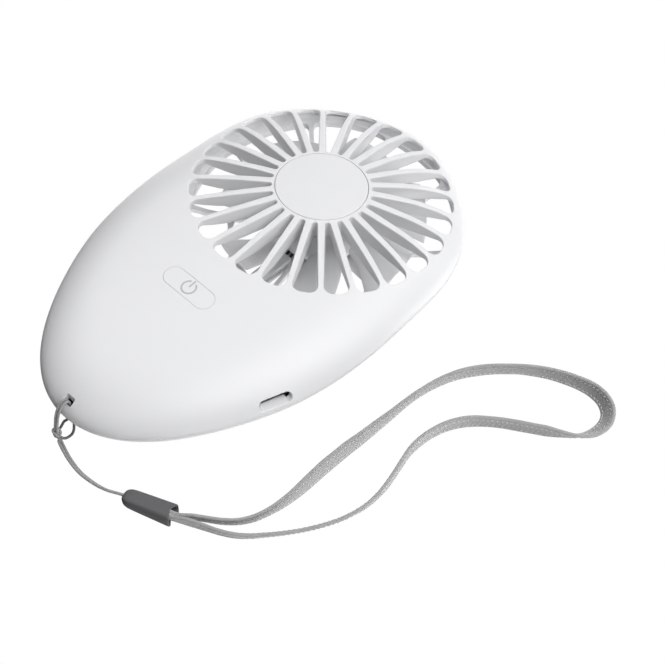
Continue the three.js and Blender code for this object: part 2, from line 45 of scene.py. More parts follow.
AZIMUTH, ELEVATION = math.radians(44.512), math.radians(53.481)
back = Vector((math.sin(AZIMUTH) * math.cos(ELEVATION), -math.cos(AZIMUTH) * math.cos(ELEVATION), math.sin(ELEVATION)))
right = Vector((math.cos(AZIMUTH), math.sin(AZIMUTH), 0))
up = back.cross(right)
lens = bpy.data.cameras.new("camera")
lens.sensor_width = 36
lens.lens = 97.639
lens.clip_start = 0.01
lens.clip_end = 20
camera = bpy.data.objects.new("camera", lens)
scene.collection.objects.link(camera)
camera.matrix_world = Matrix((
    (right.x, up.x, back.x, 0.233228),
    (right.y, up.y, back.y, -0.204937),
    (right.z, up.z, back.z, 0.398045),
    (0, 0, 0, 1),
))
scene.camera = camera

# ---------------------------------------------------------------- the body's shape, in millimetres

OUTLINE = [53.942, -4.077, 11.478, -2.607, 1.309, -1.042, 0.662, -0.027, 0.288]
OUTLINE_Y = 8.07
SEAM_Z = 8.5
TOP_H, TOP_Y = 13.815, 10.0
CROWN_X, CROWN_HEAD, CROWN_TAIL = 3.863 / 37**2, 3.718 / 37**2, 1.506 / 37**2
TOP_EDGE, TOP_POWER = 17.9, 2.33
BACK_H, BACK_EDGE, BACK_POWER = 8.75, 18.1, 1.79
WALL = 1.8
FAN_Y = 28.07
RIBS, RIB_IN, RIB_OUT = 26, 2.1, 1.55
RIB_TURN = math.radians(2.72)
SLOT_IN, SLOT_OUT = 13.9, 37.0
DUCT_RING, DUCT_SHIFT, DUCT_IN, DUCT_OUT, DUCT_FLAT = 37.17, 1.5, 38.7, 40.0, 37.5
FIN_DEPTH = np.array([[0, 5.7], [14, 5.7], [25, 4.6], [29, 4.0], [33, 2.8], [36, 1.6], [40, 1.5]])
FIN_CLEAR = np.array([[0, 15.3], [15, 15.3], [20, 13.2], [28, 11.7], [31.5, 11.0], [33, 8.9], [40, 8.9]])
BUTTON_Y, BUTTON_L, BUTTON_W = -22.0, 17.35, 6.0
PORT_ANGLE, PORT_Z, PORT_W, PORT_H, PORT_R = math.radians(132.6), 11.3, 9.3, 2.8, 1.35
HOLE_X, HOLE_LOW, HOLE_HIGH = 2.9, -65.75, -63.9


def rim(t):
    return sum(c * np.cos(i * t) for i, c in enumerate(OUTLINE))


def inset(x, y):
    return rim(np.arctan2(x, y - OUTLINE_Y)) - np.hypot(x, y - OUTLINE_Y)


def edge(t, m):
    return (1 - (1 - np.clip(t, 0, 1)) ** m) ** (1 / m)


def crown(x, y):
    return TOP_H - CROWN_X * x * x - np.where(y > TOP_Y, CROWN_HEAD, CROWN_TAIL) * (y - TOP_Y) ** 2


def top_z(x, y, s=0.0):
    return SEAM_Z + (crown(x, y) - s) * edge((inset(x, y) - s) / (TOP_EDGE - s), TOP_POWER)


def back_z(x, y, s=0.0):
    return np.maximum(s, SEAM_Z - (BACK_H - s) * edge((inset(x, y) - s) / (BACK_EDGE - s), BACK_POWER))


def fin_z(x, y):
    r = np.hypot(x, y - FAN_Y)
    low = top_z(x, y) - np.interp(r, FIN_DEPTH[:, 0], FIN_DEPTH[:, 1])
    return np.maximum(np.maximum(low, np.interp(r, FIN_CLEAR[:, 0], FIN_CLEAR[:, 1])), SEAM_Z + 0.4)


def top_normal(x, y):
    h = 1e-3
    dx = (top_z(x + h, y) - top_z(x - h, y)) / (2 * h)
    dy = (top_z(x, y + h) - top_z(x, y - h)) / (2 * h)
    n = np.stack([-dx, -dy, np.ones_like(dx)], -1)
    return n / np.linalg.norm(n, axis=-1, keepdims=True)


# ---------------------------------------------------------------- mesh helpers


class Shape:
    """Grids of points, welded into one closed surface."""

    def __init__(self):
        self.v, self.f, self.n = [], [], 0

    def grid(self, rows, closed=False):
        rows = np.asarray(rows, float)
        count, wide = rows.shape[:2]
        ids = self.n + np.arange(count * wide).reshape(count, wide)
        if closed:
            ids = np.concatenate([ids, ids[:, :1]], 1)
        self.f.append(np.stack([ids[:-1, :-1], ids[:-1, 1:], ids[1:, 1:], ids[1:, :-1]], -1).reshape(-1, 4))
        self.v.append(rows.reshape(-1, 3))
        self.n += count * wide

    def lid(self, ring):
        ring = np.asarray(ring, float)
        mid = np.broadcast_to(ring.mean(0), ring.shape)
        self.grid([ring, mid], True)


def link(name, mesh):
    obj = bpy.data.objects.new(name, mesh)
    scene.collection.objects.link(obj)
    return obj


def solid(name, shape, weld=2e-6):
    mesh = bpy.data.meshes.new(name)
    v = np.concatenate(shape.v) * MM
    f = np.concatenate(shape.f)
    mesh.from_pydata(v.tolist(), [], f.tolist())
    bm = bmesh.new()
    bm.from_mesh(mesh)
    bmesh.ops.remove_doubles(bm, verts=bm.verts, dist=weld)
    bmesh.ops.dissolve_degenerate(bm, edges=bm.edges, dist=weld)
    bmesh.ops.recalc_face_normals(bm, faces=bm.faces)
    bm.to_mesh(mesh)
    bm.free()
    return link(name, mesh)


def combine(obj, other, operation):
    mod = obj.modifiers.new("boolean", "BOOLEAN")
    mod.operation = operation
    mod.solver = "MANIFOLD"
    mod.object = other
    deps = bpy.context.evaluated_depsgraph_get()
    mesh = bpy.data.meshes.new_from_object(obj.evaluated_get(deps))
    obj.modifiers.remove(mod)
    old = obj.data
    obj.data = mesh
    mesh.name = obj.name
    bpy.data.meshes.remove(old)
    gone = other.data
    bpy.data.objects.remove(other)
    bpy.data.meshes.remove(gone)


def shade(obj, angle=35.0, surface=None):
    """Smooth shading with sharp corners; surface gives the exact normals where a corner lies on it."""
    mesh = obj.data
    mesh.polygons.foreach_set("use_smooth", np.ones(len(mesh.polygons), bool))
    mesh.set_sharp_from_angle(angle=math.radians(angle))
    if surface is None:
        return
    count = len(mesh.loops)
    normal = np.zeros(count * 3)
    mesh.corner_normals.foreach_get("vector", normal)
    normal = normal.reshape(-1, 3)
    at = np.zeros(count, int)
    mesh.loops.foreach_get("vertex_index", at)
    co = np.zeros(len(mesh.vertices) * 3)
    mesh.vertices.foreach_get("co", co)
    co = co.reshape(-1, 3)[at] / MM
    starts = np.zeros(len(mesh.polygons), int)
    totals = np.zeros(len(mesh.polygons), int)
    mesh.polygons.foreach_get("loop_start", starts)
    mesh.polygons.foreach_get("loop_total", totals)
    face = np.zeros(len(mesh.polygons) * 3)
    mesh.polygons.foreach_get("normal", face)
    face = np.repeat(face.reshape(-1, 3), totals, 0)
    height, exact = surface(co[:, 0], co[:, 1])
    on = (np.abs(co[:, 2] - height) < 0.006) & ((face * exact).sum(1) > 0.9)
    normal[on] = exact[on]
    mesh.normals_split_custom_set(normal.tolist())


def dress(obj, material, body, nodes=()):
    obj.data.materials.clear()
    obj.data.materials.append(material)
    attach(obj, body)
    if nodes:
        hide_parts(*nodes)
    return obj


def spline(points, step):
    """A smooth curve through points, resampled at even steps."""
    p = np.asarray(points, float)
    t = np.concatenate([[0], np.cumsum(np.sqrt(np.linalg.norm(np.diff(p[:, :3], axis=0), axis=1)))])
    m = np.zeros_like(p)
    for i in range(len(p)):
        a, b = max(i - 1, 0), min(i + 1, len(p) - 1)
        if 0 < i < len(p) - 1:
            h0, h1 = t[i] - t[i - 1], t[i + 1] - t[i]
            m[i] = ((p[i] - p[i - 1]) / h0 * h1 + (p[i + 1] - p[i]) / h1 * h0) / (h0 + h1)
        else:
            m[i] = (p[b] - p[a]) / (t[b] - t[a])
    out = []
    for i in range(len(p) - 1):
        h = t[i + 1] - t[i]
        for u in np.linspace(0, 1, 40, endpoint=False):
            out.append((2 * u**3 - 3 * u**2 + 1) * p[i] + (u**3 - 2 * u**2 + u) * h * m[i]
                       + (3 * u**2 - 2 * u**3) * p[i + 1] + (u**3 - u**2) * h * m[i + 1])
    out.append(p[-1])
    out = np.array(out)
    s = np.concatenate([[0], np.cumsum(np.linalg.norm(np.diff(out[:, :3], axis=0), axis=1))])
    at = np.linspace(0, s[-1], max(2, round(s[-1] / step)) + 1)
    return np.stack([np.interp(at, s, out[:, k]) for k in range(out.shape[1])], 1), at


def tangents(p):
    t = np.gradient(p, axis=0)
    return t / np.linalg.norm(t, axis=1, keepdims=True)


def frames(p):
    """Directions across a path that turn as little as they can."""
    t = tangents(p)
    n = np.zeros_like(p)
    start = np.array([1.0, 0, 0]) if abs(t[0][0]) < 0.8 else np.array([0, 1.0, 0])
    n[0] = start - t[0] * (start @ t[0])
    n[0] /= np.linalg.norm(n[0])
    for i in range(1, len(p)):
        w = n[i - 1] - t[i] * (n[i - 1] @ t[i])
        n[i] = w / np.linalg.norm(w)
    return t, n, np.cross(t, n)


def strand(shape, path, radius, at, plait=1.5, around=18):
    """A plaited cord: the surface rises and falls along two crossing sets of threads. The ends are domed."""
    t, n, b = frames(path)
    radius = np.broadcast_to(np.asarray(radius, float), (len(path),))
    a = np.linspace(0, 2 * np.pi, around, endpoint=False)
    wave = np.abs(np.sin(2 * a[None, :] + 2 * np.pi * at[:, None] / plait)) - np.abs(np.sin(2 * a[None, :] - 2 * np.pi * at[:, None] / plait))
    r = radius[:, None] * (0.99 + 0.035 * wave)
    rows = path[:, None] + r[..., None] * (np.cos(a)[None, :, None] * n[:, None] + np.sin(a)[None, :, None] * b[:, None])
    ends = []
    for i, sign in ((0, -1), (-1, 1)):
        caps = []
        for k in (0.5, 0.8, 1.0):
            caps.append(path[i] + sign * t[i] * radius[i] * 0.6 * k
                        + radius[i] * math.sqrt(max(0, 1 - k * k)) * (np.cos(a)[:, None] * n[i] + np.sin(a)[:, None] * b[i]))
        ends.append(caps)
    shape.grid(np.array(ends[0][::-1] + list(rows) + ends[1]), True)


# ---------------------------------------------------------------- materials


def material(name, color, roughness, **sockets):
    mat = bpy.data.materials.new(name)
    mat.use_nodes = True
    tree = mat.node_tree
    shader = tree.nodes["Principled BSDF"]
    shader.inputs["Base Color"].default_value = (*color, 1)
    shader.inputs["Roughness"].default_value = roughness
    for key, value in sockets.items():
        shader.inputs[key.replace("_", " ")].default_value = value
    return mat, tree, shader


def node(tree, kind, **values):
    made = tree.nodes.new(kind)
    for key, value in values.items():
        if key in made.bl_rna.properties and key not in made.inputs:
            setattr(made, key, value)
        else:
            made.inputs[key.replace("_", " ")].default_value = value
    return made


def mixed(tree, shader, fac, a, b):
    ramp = node(tree, "ShaderNodeValToRGB")
    ramp.color_ramp.elements[0].color = (*a, 1)
    ramp.color_ramp.elements[1].color = (*b, 1)
    tree.links.new(fac, ramp.inputs["Fac"])
    tree.links.new(ramp.outputs["Color"], shader.inputs["Base Color"])
    return ramp


def moulded(name, color, roughness, spread=0.03, grain=0.35, depth=0.02, scale=1.0, **sockets):
    """Moulded plastic: a fine etched grain, and roughness and tone that wander a little."""
    mat, tree, shader = material(name, color, roughness, **sockets)
    where = node(tree, "ShaderNodeTexCoord")
    cloud = node(tree, "ShaderNodeTexNoise", Scale=45.0 * scale, Detail=4.0, Roughness=0.55)
    etch = node(tree, "ShaderNodeTexNoise", Scale=1000.0 / grain, Detail=2.0, Roughness=0.6)
    for tex in (cloud, etch):
        tree.links.new(where.outputs["Object"], tex.inputs["Vector"])
    low = tuple(c * (1 - spread) for c in color)
    high = tuple(min(1, c * (1 + spread)) for c in color)
    mixed(tree, shader, cloud.outputs["Fac"], low, high)
    rough = node(tree, "ShaderNodeMapRange")
    rough.inputs["To Min"].default_value = roughness - 0.05
    rough.inputs["To Max"].default_value = roughness + 0.05
    tree.links.new(cloud.outputs["Fac"], rough.inputs["Value"])
    tree.links.new(rough.outputs["Result"], shader.inputs["Roughness"])
    bump = node(tree, "ShaderNodeBump", Strength=depth, Distance=0.00005)
    tree.links.new(etch.outputs["Fac"], bump.inputs["Height"])
    tree.links.new(bump.outputs["Normal"], shader.inputs["Normal"])
    return mat


def metal(name, color, roughness, along=(1, 1, 30), depth=0.06):
    """Metal with fine drawn lines and a worn roughness."""
    mat, tree, shader = material(name, color, roughness, Metallic=1.0)
    where = node(tree, "ShaderNodeTexCoord")
    stretch = node(tree, "ShaderNodeMapping")
    stretch.inputs["Scale"].default_value = along
    lines = node(tree, "ShaderNodeTexNoise", Scale=600.0, Detail=5.0, Roughness=0.7)
    tree.links.new(where.outputs["Object"], stretch.inputs["Vector"])
    tree.links.new(stretch.outputs["Vector"], lines.inputs["Vector"])
    mixed(tree, shader, lines.outputs["Fac"], tuple(c * 0.82 for c in color), color)
    rough = node(tree, "ShaderNodeMapRange")
    rough.inputs["To Min"].default_value = max(0.05, roughness - 0.1)
    rough.inputs["To Max"].default_value = roughness + 0.12
    tree.links.new(lines.outputs["Fac"], rough.inputs["Value"])
    tree.links.new(rough.outputs["Result"], shader.inputs["Roughness"])
    bump = node(tree, "ShaderNodeBump", Strength=depth, Distance=0.00005)
    tree.links.new(lines.outputs["Fac"], bump.inputs["Height"])
    tree.links.new(bump.outputs["Normal"], shader.inputs["Normal"])
    return mat


def wound(name, color, pitch, roughness=0.35, metallic=0.0):
    """Wire laid in turns, for the coils."""
    mat, tree, shader = material(name, color, roughness, Metallic=metallic)
    where = node(tree, "ShaderNodeTexCoord")
    turns = node(tree, "ShaderNodeTexWave", Scale=1000.0 / pitch / 20, Distortion=0.6, Detail=1.0)
    turns.bands_direction = "Z"
    tree.links.new(where.outputs["Object"], turns.inputs["Vector"])
    mixed(tree, shader, turns.outputs["Fac"], tuple(c * 0.45 for c in color), color)
    bump = node(tree, "ShaderNodeBump", Strength=0.5, Distance=0.0001)
    tree.links.new(turns.outputs["Fac"], bump.inputs["Height"])
    tree.links.new(bump.outputs["Normal"], shader.inputs["Normal"])
    return mat


def plaited(name, dark, light, roughness=0.85):
    """Spun thread: fine fibres over the plaited shape."""
    mat, tree, shader = material(name, light, roughness)
    shader.inputs["Sheen Weight"].default_value = 0.25
    shader.inputs["Sheen Roughness"].default_value = 0.5
    shader.inputs["Specular IOR Level"].default_value = 0.2
    where = node(tree, "ShaderNodeTexCoord")
    fibre = node(tree, "ShaderNodeTexNoise", Scale=3200.0, Detail=3.0, Roughness=0.65)
    tree.links.new(where.outputs["Object"], fibre.inputs["Vector"])
    mixed(tree, shader, fibre.outputs["Fac"], dark, light)
    bump = node(tree, "ShaderNodeBump", Strength=0.08, Distance=0.00012)
    tree.links.new(fibre.outputs["Fac"], bump.inputs["Height"])
    tree.links.new(bump.outputs["Normal"], shader.inputs["Normal"])
    return mat


def woven(name, dark, light):
    """Flat webbing. The first surface coordinate runs along it and the second across it, both in millimetres."""
    mat, tree, shader = material(name, light, 0.8)
    shader.inputs["Sheen Weight"].default_value = 0.3
    shader.inputs["Sheen Roughness"].default_value = 0.45
    shader.inputs["Specular IOR Level"].default_value = 0.25
    place = node(tree, "ShaderNodeUVMap", uv_map="weave")
    parts = node(tree, "ShaderNodeSeparateXYZ")
    tree.links.new(place.outputs["UV"], parts.inputs["Vector"])

    def calc(op, a, b=None):
        n = node(tree, "ShaderNodeMath", operation=op)
        for i, value in enumerate((a, b)):
            if value is None:
                continue
            if isinstance(value, (int, float)):
                n.inputs[i].default_value = value
            else:
                tree.links.new(value, n.inputs[i])
        return n.outputs[0]

    s, w = parts.outputs["X"], parts.outputs["Y"]
    weft = calc("SINE", calc("MULTIPLY", s, 2 * math.pi / 0.45))
    warp = calc("SINE", calc("MULTIPLY", w, 2 * math.pi / 0.5))
    cloth = calc("ADD", calc("MULTIPLY", calc("MULTIPLY", weft, warp), 0.10), 0.5)
    fibre = node(tree, "ShaderNodeTexNoise", Scale=1900.0, Detail=3.0, Roughness=0.65)
    where = node(tree, "ShaderNodeTexCoord")
    tree.links.new(where.outputs["Object"], fibre.inputs["Vector"])
    height = calc("ADD", cloth, calc("MULTIPLY", calc("SUBTRACT", fibre.outputs["Fac"], 0.5), 0.2))
    mixed(tree, shader, height, dark, light)
    bump = node(tree, "ShaderNodeBump", Strength=0.05, Distance=0.00005)
    tree.links.new(height, bump.inputs["Height"])
    tree.links.new(bump.outputs["Normal"], shader.inputs["Normal"])
    return mat


WHITE = (0.70, 0.704, 0.716)
shell_mat = moulded("shell_plastic", WHITE, 0.42, 0.008, 0.3, 0.05)
cap_mat = moulded("cap_plastic", WHITE, 0.40, 0.008, 0.3, 0.05)
button_mat = moulded("button_plastic", WHITE, 0.40, 0.008, 0.3, 0.05)
mark_mat = moulded("mark_ink", (0.42, 0.42, 0.432), 0.5, 0.06, 0.2, 0.1, 4)
fan_mat = moulded("fan_plastic", (0.66, 0.664, 0.672), 0.38, 0.02, 0.4, 0.08)
black_mat = moulded("black_plastic", (0.022, 0.022, 0.024), 0.45, 0.2, 0.3, 0.25, 3)
screw_mat = metal("screw_steel", (0.30, 0.30, 0.31), 0.35)
steel_mat = metal("motor_steel", (0.56, 0.56, 0.55), 0.32)
port_mat = metal("port_steel", (0.55, 0.55, 0.55), 0.28)
stator_mat = metal("stator_steel", (0.42, 0.43, 0.45), 0.4, (1, 1, 60), 0.3)
brass_mat = metal("brass", (0.74, 0.56, 0.26), 0.3)
bronze_mat = metal("bronze", (0.55, 0.36, 0.18), 0.45)
magnet_mat = moulded("magnet", (0.055, 0.05, 0.047), 0.7, 0.35, 0.25, 0.5, 4)
board_mat = moulded("circuit_board", (0.02, 0.14, 0.055), 0.35, 0.3, 0.5, 0.2, 6)
copper_mat = wound("copper", (0.62, 0.25, 0.09), 0.25, 0.3, 0.85)
foil_mat = moulded("battery_foil", (0.30, 0.42, 0.60), 0.28, 0.12, 1.2, 0.5, 3)
foam_mat = moulded("foam", (0.10, 0.10, 0.105), 0.95, 0.5, 0.6, 1.0, 20)
ferrite_mat = moulded("ferrite", (0.09, 0.088, 0.085), 0.65, 0.3, 0.25, 0.4, 6)
led_mat = moulded("led_lens", (0.86, 0.86, 0.80), 0.22, 0.03, 0.4, 0.05, 4, Transmission_Weight=0.4)
red_mat = moulded("wire_red", (0.52, 0.02, 0.02), 0.4, 0.1, 0.4, 0.2, 4)
wire_mat = moulded("wire_black", (0.02, 0.02, 0.022), 0.4, 0.2, 0.4, 0.2, 4)
cord_mat = plaited("strap_cord", (0.235, 0.235, 0.238), (0.315, 0.315, 0.318))
# a darker copy of the cord material: painted shade for the bight, which lies in the body's shadow
cord_painted_shade_mat = plaited("strap_cord_painted_shade", (0.085, 0.085, 0.087), (0.135, 0.135, 0.138))
web_mat = woven("strap_webbing", (0.27, 0.27, 0.273), (0.38, 0.38, 0.384))
stitch_mat = plaited("strap_stitch", (0.46, 0.46, 0.464), (0.60, 0.60, 0.605))
sleeve_mat = moulded("strap_sleeve", (0.092, 0.093, 0.096), 0.62, 0.12, 0.25, 0.4, 4)

# ---------------------------------------------------------------- strap: hitched cord, sleeve and webbing

CORD_PATH = [
    [-0.2, -65.0, 8.8], [-0.2, -65.05, 12.3], [-0.15, -65.6, 13.3], [-0.1, -66.7, 13.6], [0, -68.1, 12.7], [0, -69.3, 10.4], [0, -70.0, 7.6], [0, -70.4, 5.2], [0.2, -70.45, 2.9],
    [1.2, -70.75, 1.2], [5.0, -72.0, 0.95], [8.3, -72.8, 0.95], [12.3, -73.3, 0.95], [17.1, -73.0, 1.1], [21.3, -72.2, 1.6], [25.4, -70.5, 2.1],
    [28.0, -69.6, 2.2],
]
cord_line, cord_at = spline(CORD_PATH, 0.16)
cord_t = tangents(cord_line)
# the two strands lie side by side at the hitch and one on the other at the sleeve
share = np.clip((cord_at - 21) / 19, 0, 1)[:, None]
side = np.cross(cord_t, [0, 0, 1.0])
side = np.where(np.linalg.norm(side, axis=1, keepdims=True) < 0.35, [1.0, 0, 0], side)
level = np.where(cord_at[:, None] < 19.5, np.array([1.0, 0, 0]), side)
for _ in range(40):
    level[1:-1] = (level[:-2] + 2 * level[1:-1] + level[2:]) / 4
level -= cord_t * (level * cord_t).sum(1, keepdims=True)
level /= np.linalg.norm(level, axis=1, keepdims=True)
tall = np.cross(level, cord_t)
tall *= np.sign(tall[:, 2:3] + 1e-9)
turn = share * math.radians(54)
apart = level * np.cos(turn) + tall * np.sin(turn)
CORD_R = 0.37
gap = np.interp(cord_at, [0, 4, 10, 18, 24, 50], [0.44, 0.48, 0.44, 0.38, 0.36, 0.34])[:, None]
cord_shape = Shape()
for sign in (-1, 1):
    strand(cord_shape, cord_line + sign * gap * apart, CORD_R, cord_at)
cord = solid("strap_cord_strands", cord_shape, 1e-7)
shade(cord, 60)
dress(cord, cord_mat, "housing", ["strap_cord"])

# the bight under the body, and the turn that it makes round the strands; the bight is drawn in a darker copy of the
# cord, painted shade where the same cord lies in the body's shadow
bight_shape, loop_shape = Shape(), Shape()
for points in (
    [[0.5, -64.85, 6.4], [0.6, -64.95, 4.6], [0.8, -65.35, 2.9], [1.05, -65.75, 1.8], [1.2, -66.2, 1.0], [1.3, -66.9, 0.52], [1.3, -67.8, 0.45], [1.25, -68.6, 0.6],
     [1.2, -69.4, 1.2], [1.15, -70.0, 2.2], [1.1, -70.4, 3.2]],
    [[-0.5, -64.9, 6.4], [-0.7, -65.3, 4.7], [-0.95, -66.3, 4.25], [-1.0, -67.0, 4.3], [-1.0, -67.7, 3.7], [-1.0, -68.5, 3.0], [-1.0, -69.3, 2.8], [-1.0, -70.2, 3.2]],
):
    line, at = spline(points, 0.16)
    strand(bight_shape, line, 0.38, at)
knot_line, knot_at = spline([[1.0, -70.3, 3.2], [0.9, -70.8, 3.5], [0.35, -71.1, 3.9], [-0.5, -71.1, 4.2], [-1.0, -70.75, 4.3], [-1.1, -70.3, 4.2], [-0.65, -69.75, 4.1],
                             [0.2, -69.6, 4.1], [0.8, -69.85, 3.9], [1.0, -70.35, 3.6], [0.7, -70.85, 3.1], [0.0, -71.05, 2.8], [-0.7, -70.8, 3.0], [-1.0, -70.3, 3.3]], 0.16)
strand(loop_shape, knot_line, 0.4, knot_at)
loop = solid("strap_hitch", loop_shape, 1e-7)
shade(loop, 60)
dress(loop, cord_mat, "housing")
bight = solid("strap_bight", bight_shape, 1e-7)
shade(bight, 60)
# painted shade: the bight takes the darker copy of the cord
dress(bight, cord_painted_shade_mat, "housing")

# the sleeve: a moulded tube with a domed end towards the cord and an open end for the webbing
SLEEVE = np.array([40.7, -68.1, 0.08])
axis_x = np.array([13.4, 4.2, 0]) / math.hypot(13.4, 4.2)
axis_y = np.array([-axis_x[1], axis_x[0], 0])
axis_z = np.array([0, 0, 1.0])


def oval(half_y, half_z, power, count=56):
    a = np.linspace(0, 2 * np.pi, count, endpoint=False)
    c, s = np.cos(a), np.sin(a)
    return np.stack([half_y * np.sign(c) * np.abs(c) ** (2 / power), half_z * np.sign(s) * np.abs(s) ** (2 / power)], 1)


sleeve_shape = Shape()
rows = []
for x, k in [(-14.9, 0.0), (-14.88, 0.22), (-14.78, 0.42), (-14.55, 0.6), (-14.15, 0.76), (-13.6, 0.88), (-12.9, 0.955), (-12.0, 0.99), (-11.0, 1.0),
             (-7.5, 1.0), (-4.0, 1.0), (-1.0, 1.0), (-0.5, 0.995), (-0.22, 0.975), (-0.1, 0.94), (-0.08, 0.90), (-0.15, 0.86), (-0.4, 0.84), (-1.6, 0.82), (-4.6, 0.82), (-4.7, 0.6), (-4.7, 0.0)]:
    wide, tall_s = np.interp(x, [-15, -11, 0], [4.5, 4.7, 5.3]), np.interp(x, [-15, -11, 0], [3.6, 3.9, 4.9])
    ring = oval(wide / 2 * k, tall_s / 2 * k, 5.0)
    # a shallow notch in the top and bottom of the open end
    notch = 1.0 * np.exp(-((ring[:, :1] / 1.3) ** 2)) if x > -0.6 and k > 0.8 else 0
    rows.append(SLEEVE + (x - notch) * axis_x + (wide / 2 + ring[:, :1]) * axis_y + (tall_s / 2 + ring[:, 1:]) * axis_z)
sleeve_shape.grid(np.array(rows), True)
sleeve = solid("strap_sleeve_moulding", sleeve_shape)
shade(sleeve, 50)
dress(sleeve, sleeve_mat, "housing", ["strap_sleeve"])

# the webbing loop: x, y, height of the middle, and how far it leans, in degrees
WEB_W, WEB_T = 5.8, 0.95
WEB_PATH = [
    (36.2, -66.4, 2.55, -8), (40.6, -64.9, 2.98, -22), (43.8, -62.5, 2.99, -21), (47.1, -60.3, 3, -20), (50.3, -58, 3, -20), (53, -55.3, 3, -20),
    (55, -52, 3.02, -17), (56.2, -48.3, 3.04, -14), (56.9, -44.4, 3.05, -8), (57.2, -40.4, 3.03, -2), (57.2, -36.5, 3.04, 4), (57.1, -32.5, 3.05, 7),
    (57, -28.6, 3.05, 8), (57.1, -24.6, 3.05, 7), (57.2, -20.6, 3.05, 6), (57.5, -16.7, 3.04, 3), (57.7, -12.7, 3.02, 0), (57.9, -8.8, 3.04, -3),
    (58.1, -4.9, 3.05, -7), (58.2, -1, 3.05, -10), (58.4, 3, 3.05, -13), (58.9, 6.9, 3.04, -14), (59.7, 10.8, 3.05, -13), (60.9, 14.6, 3.05, -12),
    (62.5, 18.2, 3.05, -11), (64.6, 21.5, 3.05, -10), (67, 24.6, 3.05, -11), (69.8, 27.5, 3.05, -12), (72.7, 30.2, 3.05, -12), (75.9, 32.6, 3.05, -9),
    (79.3, 34.7, 3.05, -7), (82.9, 36.4, 3.04, -3), (86.8, 37.8, 3.02, 0), (90.9, 38.6, 3.0, 8), (94.8, 38.2, 2.9, 17), (98.2, 36.2, 2.6, 32),
    (99.9, 32.7, 2.2, 46), (99.5, 28.5, 2.2, 46), (97.4, 25, 2.55, 34), (94.2, 22.4, 2.85, 22), (90.9, 20.2, 3.05, 11), (87.5, 18.1, 3.05, 10),
    (84.1, 16, 3.05, 9), (80.7, 13.8, 3.05, 10), (77.6, 11.4, 3.05, 10), (74.7, 8.7, 3.05, 8), (72.3, 5.5, 3.05, 8), (70.6, 1.9, 3.05, 8),
    (69.6, -1.9, 3.05, 8), (69.2, -5.8, 3.05, 7), (69.4, -9.6, 3.05, 7), (70.3, -13.5, 3.05, 7), (71.3, -17.3, 3.05, 8), (72.2, -21.2, 3.05, 10),
    (72.7, -25.1, 3.04, 15), (72.7, -29.1, 3, 20), (72, -33, 2.94, 25), (70.9, -36.7, 2.91, 27), (69.3, -40.3, 2.89, 28), (67.4, -43.8, 2.89, 28),
    (65.3, -47.1, 2.88, 29), (62.9, -50.4, 2.89, 28), (60.4, -53.5, 2.91, 27), (57.8, -56.5, 2.94, 25), (54.9, -59, 2.97, 22), (51.5, -61, 3, 20),
    (47.9, -62.6, 3.02, 17), (44.2, -64.3, 3.04, 15), (40.6, -66.2, 3.03, 16), (35.8, -67.7, 2.55, 6),
]
web_all, web_at = spline(WEB_PATH, 0.26)
web_line, lean = web_all[:, :3], np.radians(web_all[:, 3])
web_t = tangents(web_line * [1, 1, 0])
web_b = np.cross([0, 0, 1.0], web_t)
across = np.cos(lean)[:, None] * np.array([0, 0, 1.0]) + np.sin(lean)[:, None] * web_b
out = np.cross(web_t, across)
narrow = np.interp(web_at, [0, 5, 9, web_at[-1] - 9, web_at[-1] - 5, web_at[-1]], [0.68, 0.68, 1, 1, 0.68, 0.68])

section = []
for w in np.linspace(-1, 1, 25):
    section.append((w * (WEB_W / 2 - 0.42), 1))
for a in np.linspace(90, -90, 7)[1:-1]:
    section.append((WEB_W / 2 - 0.42 + 0.42 * math.cos(math.radians(a)), math.sin(math.radians(a))))
for w in np.linspace(1, -1, 25):
    section.append((w * (WEB_W / 2 - 0.42), -1))
for a in np.linspace(-90, -270, 7)[1:-1]:
    section.append((-WEB_W / 2 + 0.42 + 0.42 * math.cos(math.radians(a)), math.sin(math.radians(a))))
section = np.array(section)
RUNG = 1.3
w, h = section[:, 0][None, :], section[:, 1][None, :]
s = web_at[:, None]
# a ladder of raised rungs down the middle, and plain rounded borders
middle = np.clip((1.75 - np.abs(w)) / 0.35, 0, 1)
rung = np.cos(2 * np.pi * (s + 0.35 * np.abs(w) * np.sign(h + 1e-9)) / RUNG)
border = np.exp(-(((np.abs(w) - 2.2) / 0.35) ** 2))
thick = WEB_T / 2 * (1 - 0.12 * middle + 0.09 * middle * rung + 0.05 * border)
web_rows = web_line[:, None] + (w * narrow[:, None])[..., None] * across[:, None] + (h * thick)[..., None] * out[:, None]
web_shape = Shape()
web_shape.grid(web_rows, True)
for i in (0, -1):
    web_shape.lid(web_rows[i])
web = solid("strap_webbing_loop", web_shape, 1e-8)
uv = web.data.uv_layers.new(name="weave")
near = np.zeros(len(web.data.loops), int)
web.data.loops.foreach_get("vertex_index", near)
co = np.zeros(len(web.data.vertices) * 3)
web.data.vertices.foreach_get("co", co)
co = co.reshape(-1, 3) / MM
flat_s, flat_w = np.zeros(len(co)), np.zeros(len(co))
grid_s = np.broadcast_to(s, web_rows.shape[:2]).reshape(-1)
grid_w = np.broadcast_to(w, web_rows.shape[:2]).reshape(-1)
grid_p = web_rows.reshape(-1, 3)
where = {tuple(k): i for i, k in enumerate(np.round(grid_p * 1e3).astype(np.int64).tolist())}
for i, k in enumerate(np.round(co * 1e3).astype(np.int64).tolist()):
    j = where.get(tuple(k))
    if j is None:
        j = int(np.argmin(((grid_p - co[i]) ** 2).sum(1)))
    flat_s[i], flat_w[i] = grid_s[j], grid_w[j]
uv.data.foreach_set("uv", np.stack([flat_s[near], flat_w[near]], 1).astype(np.float32).ravel())
shade(web, 60)
dress(web, web_mat, "housing", ["strap_webbing"])

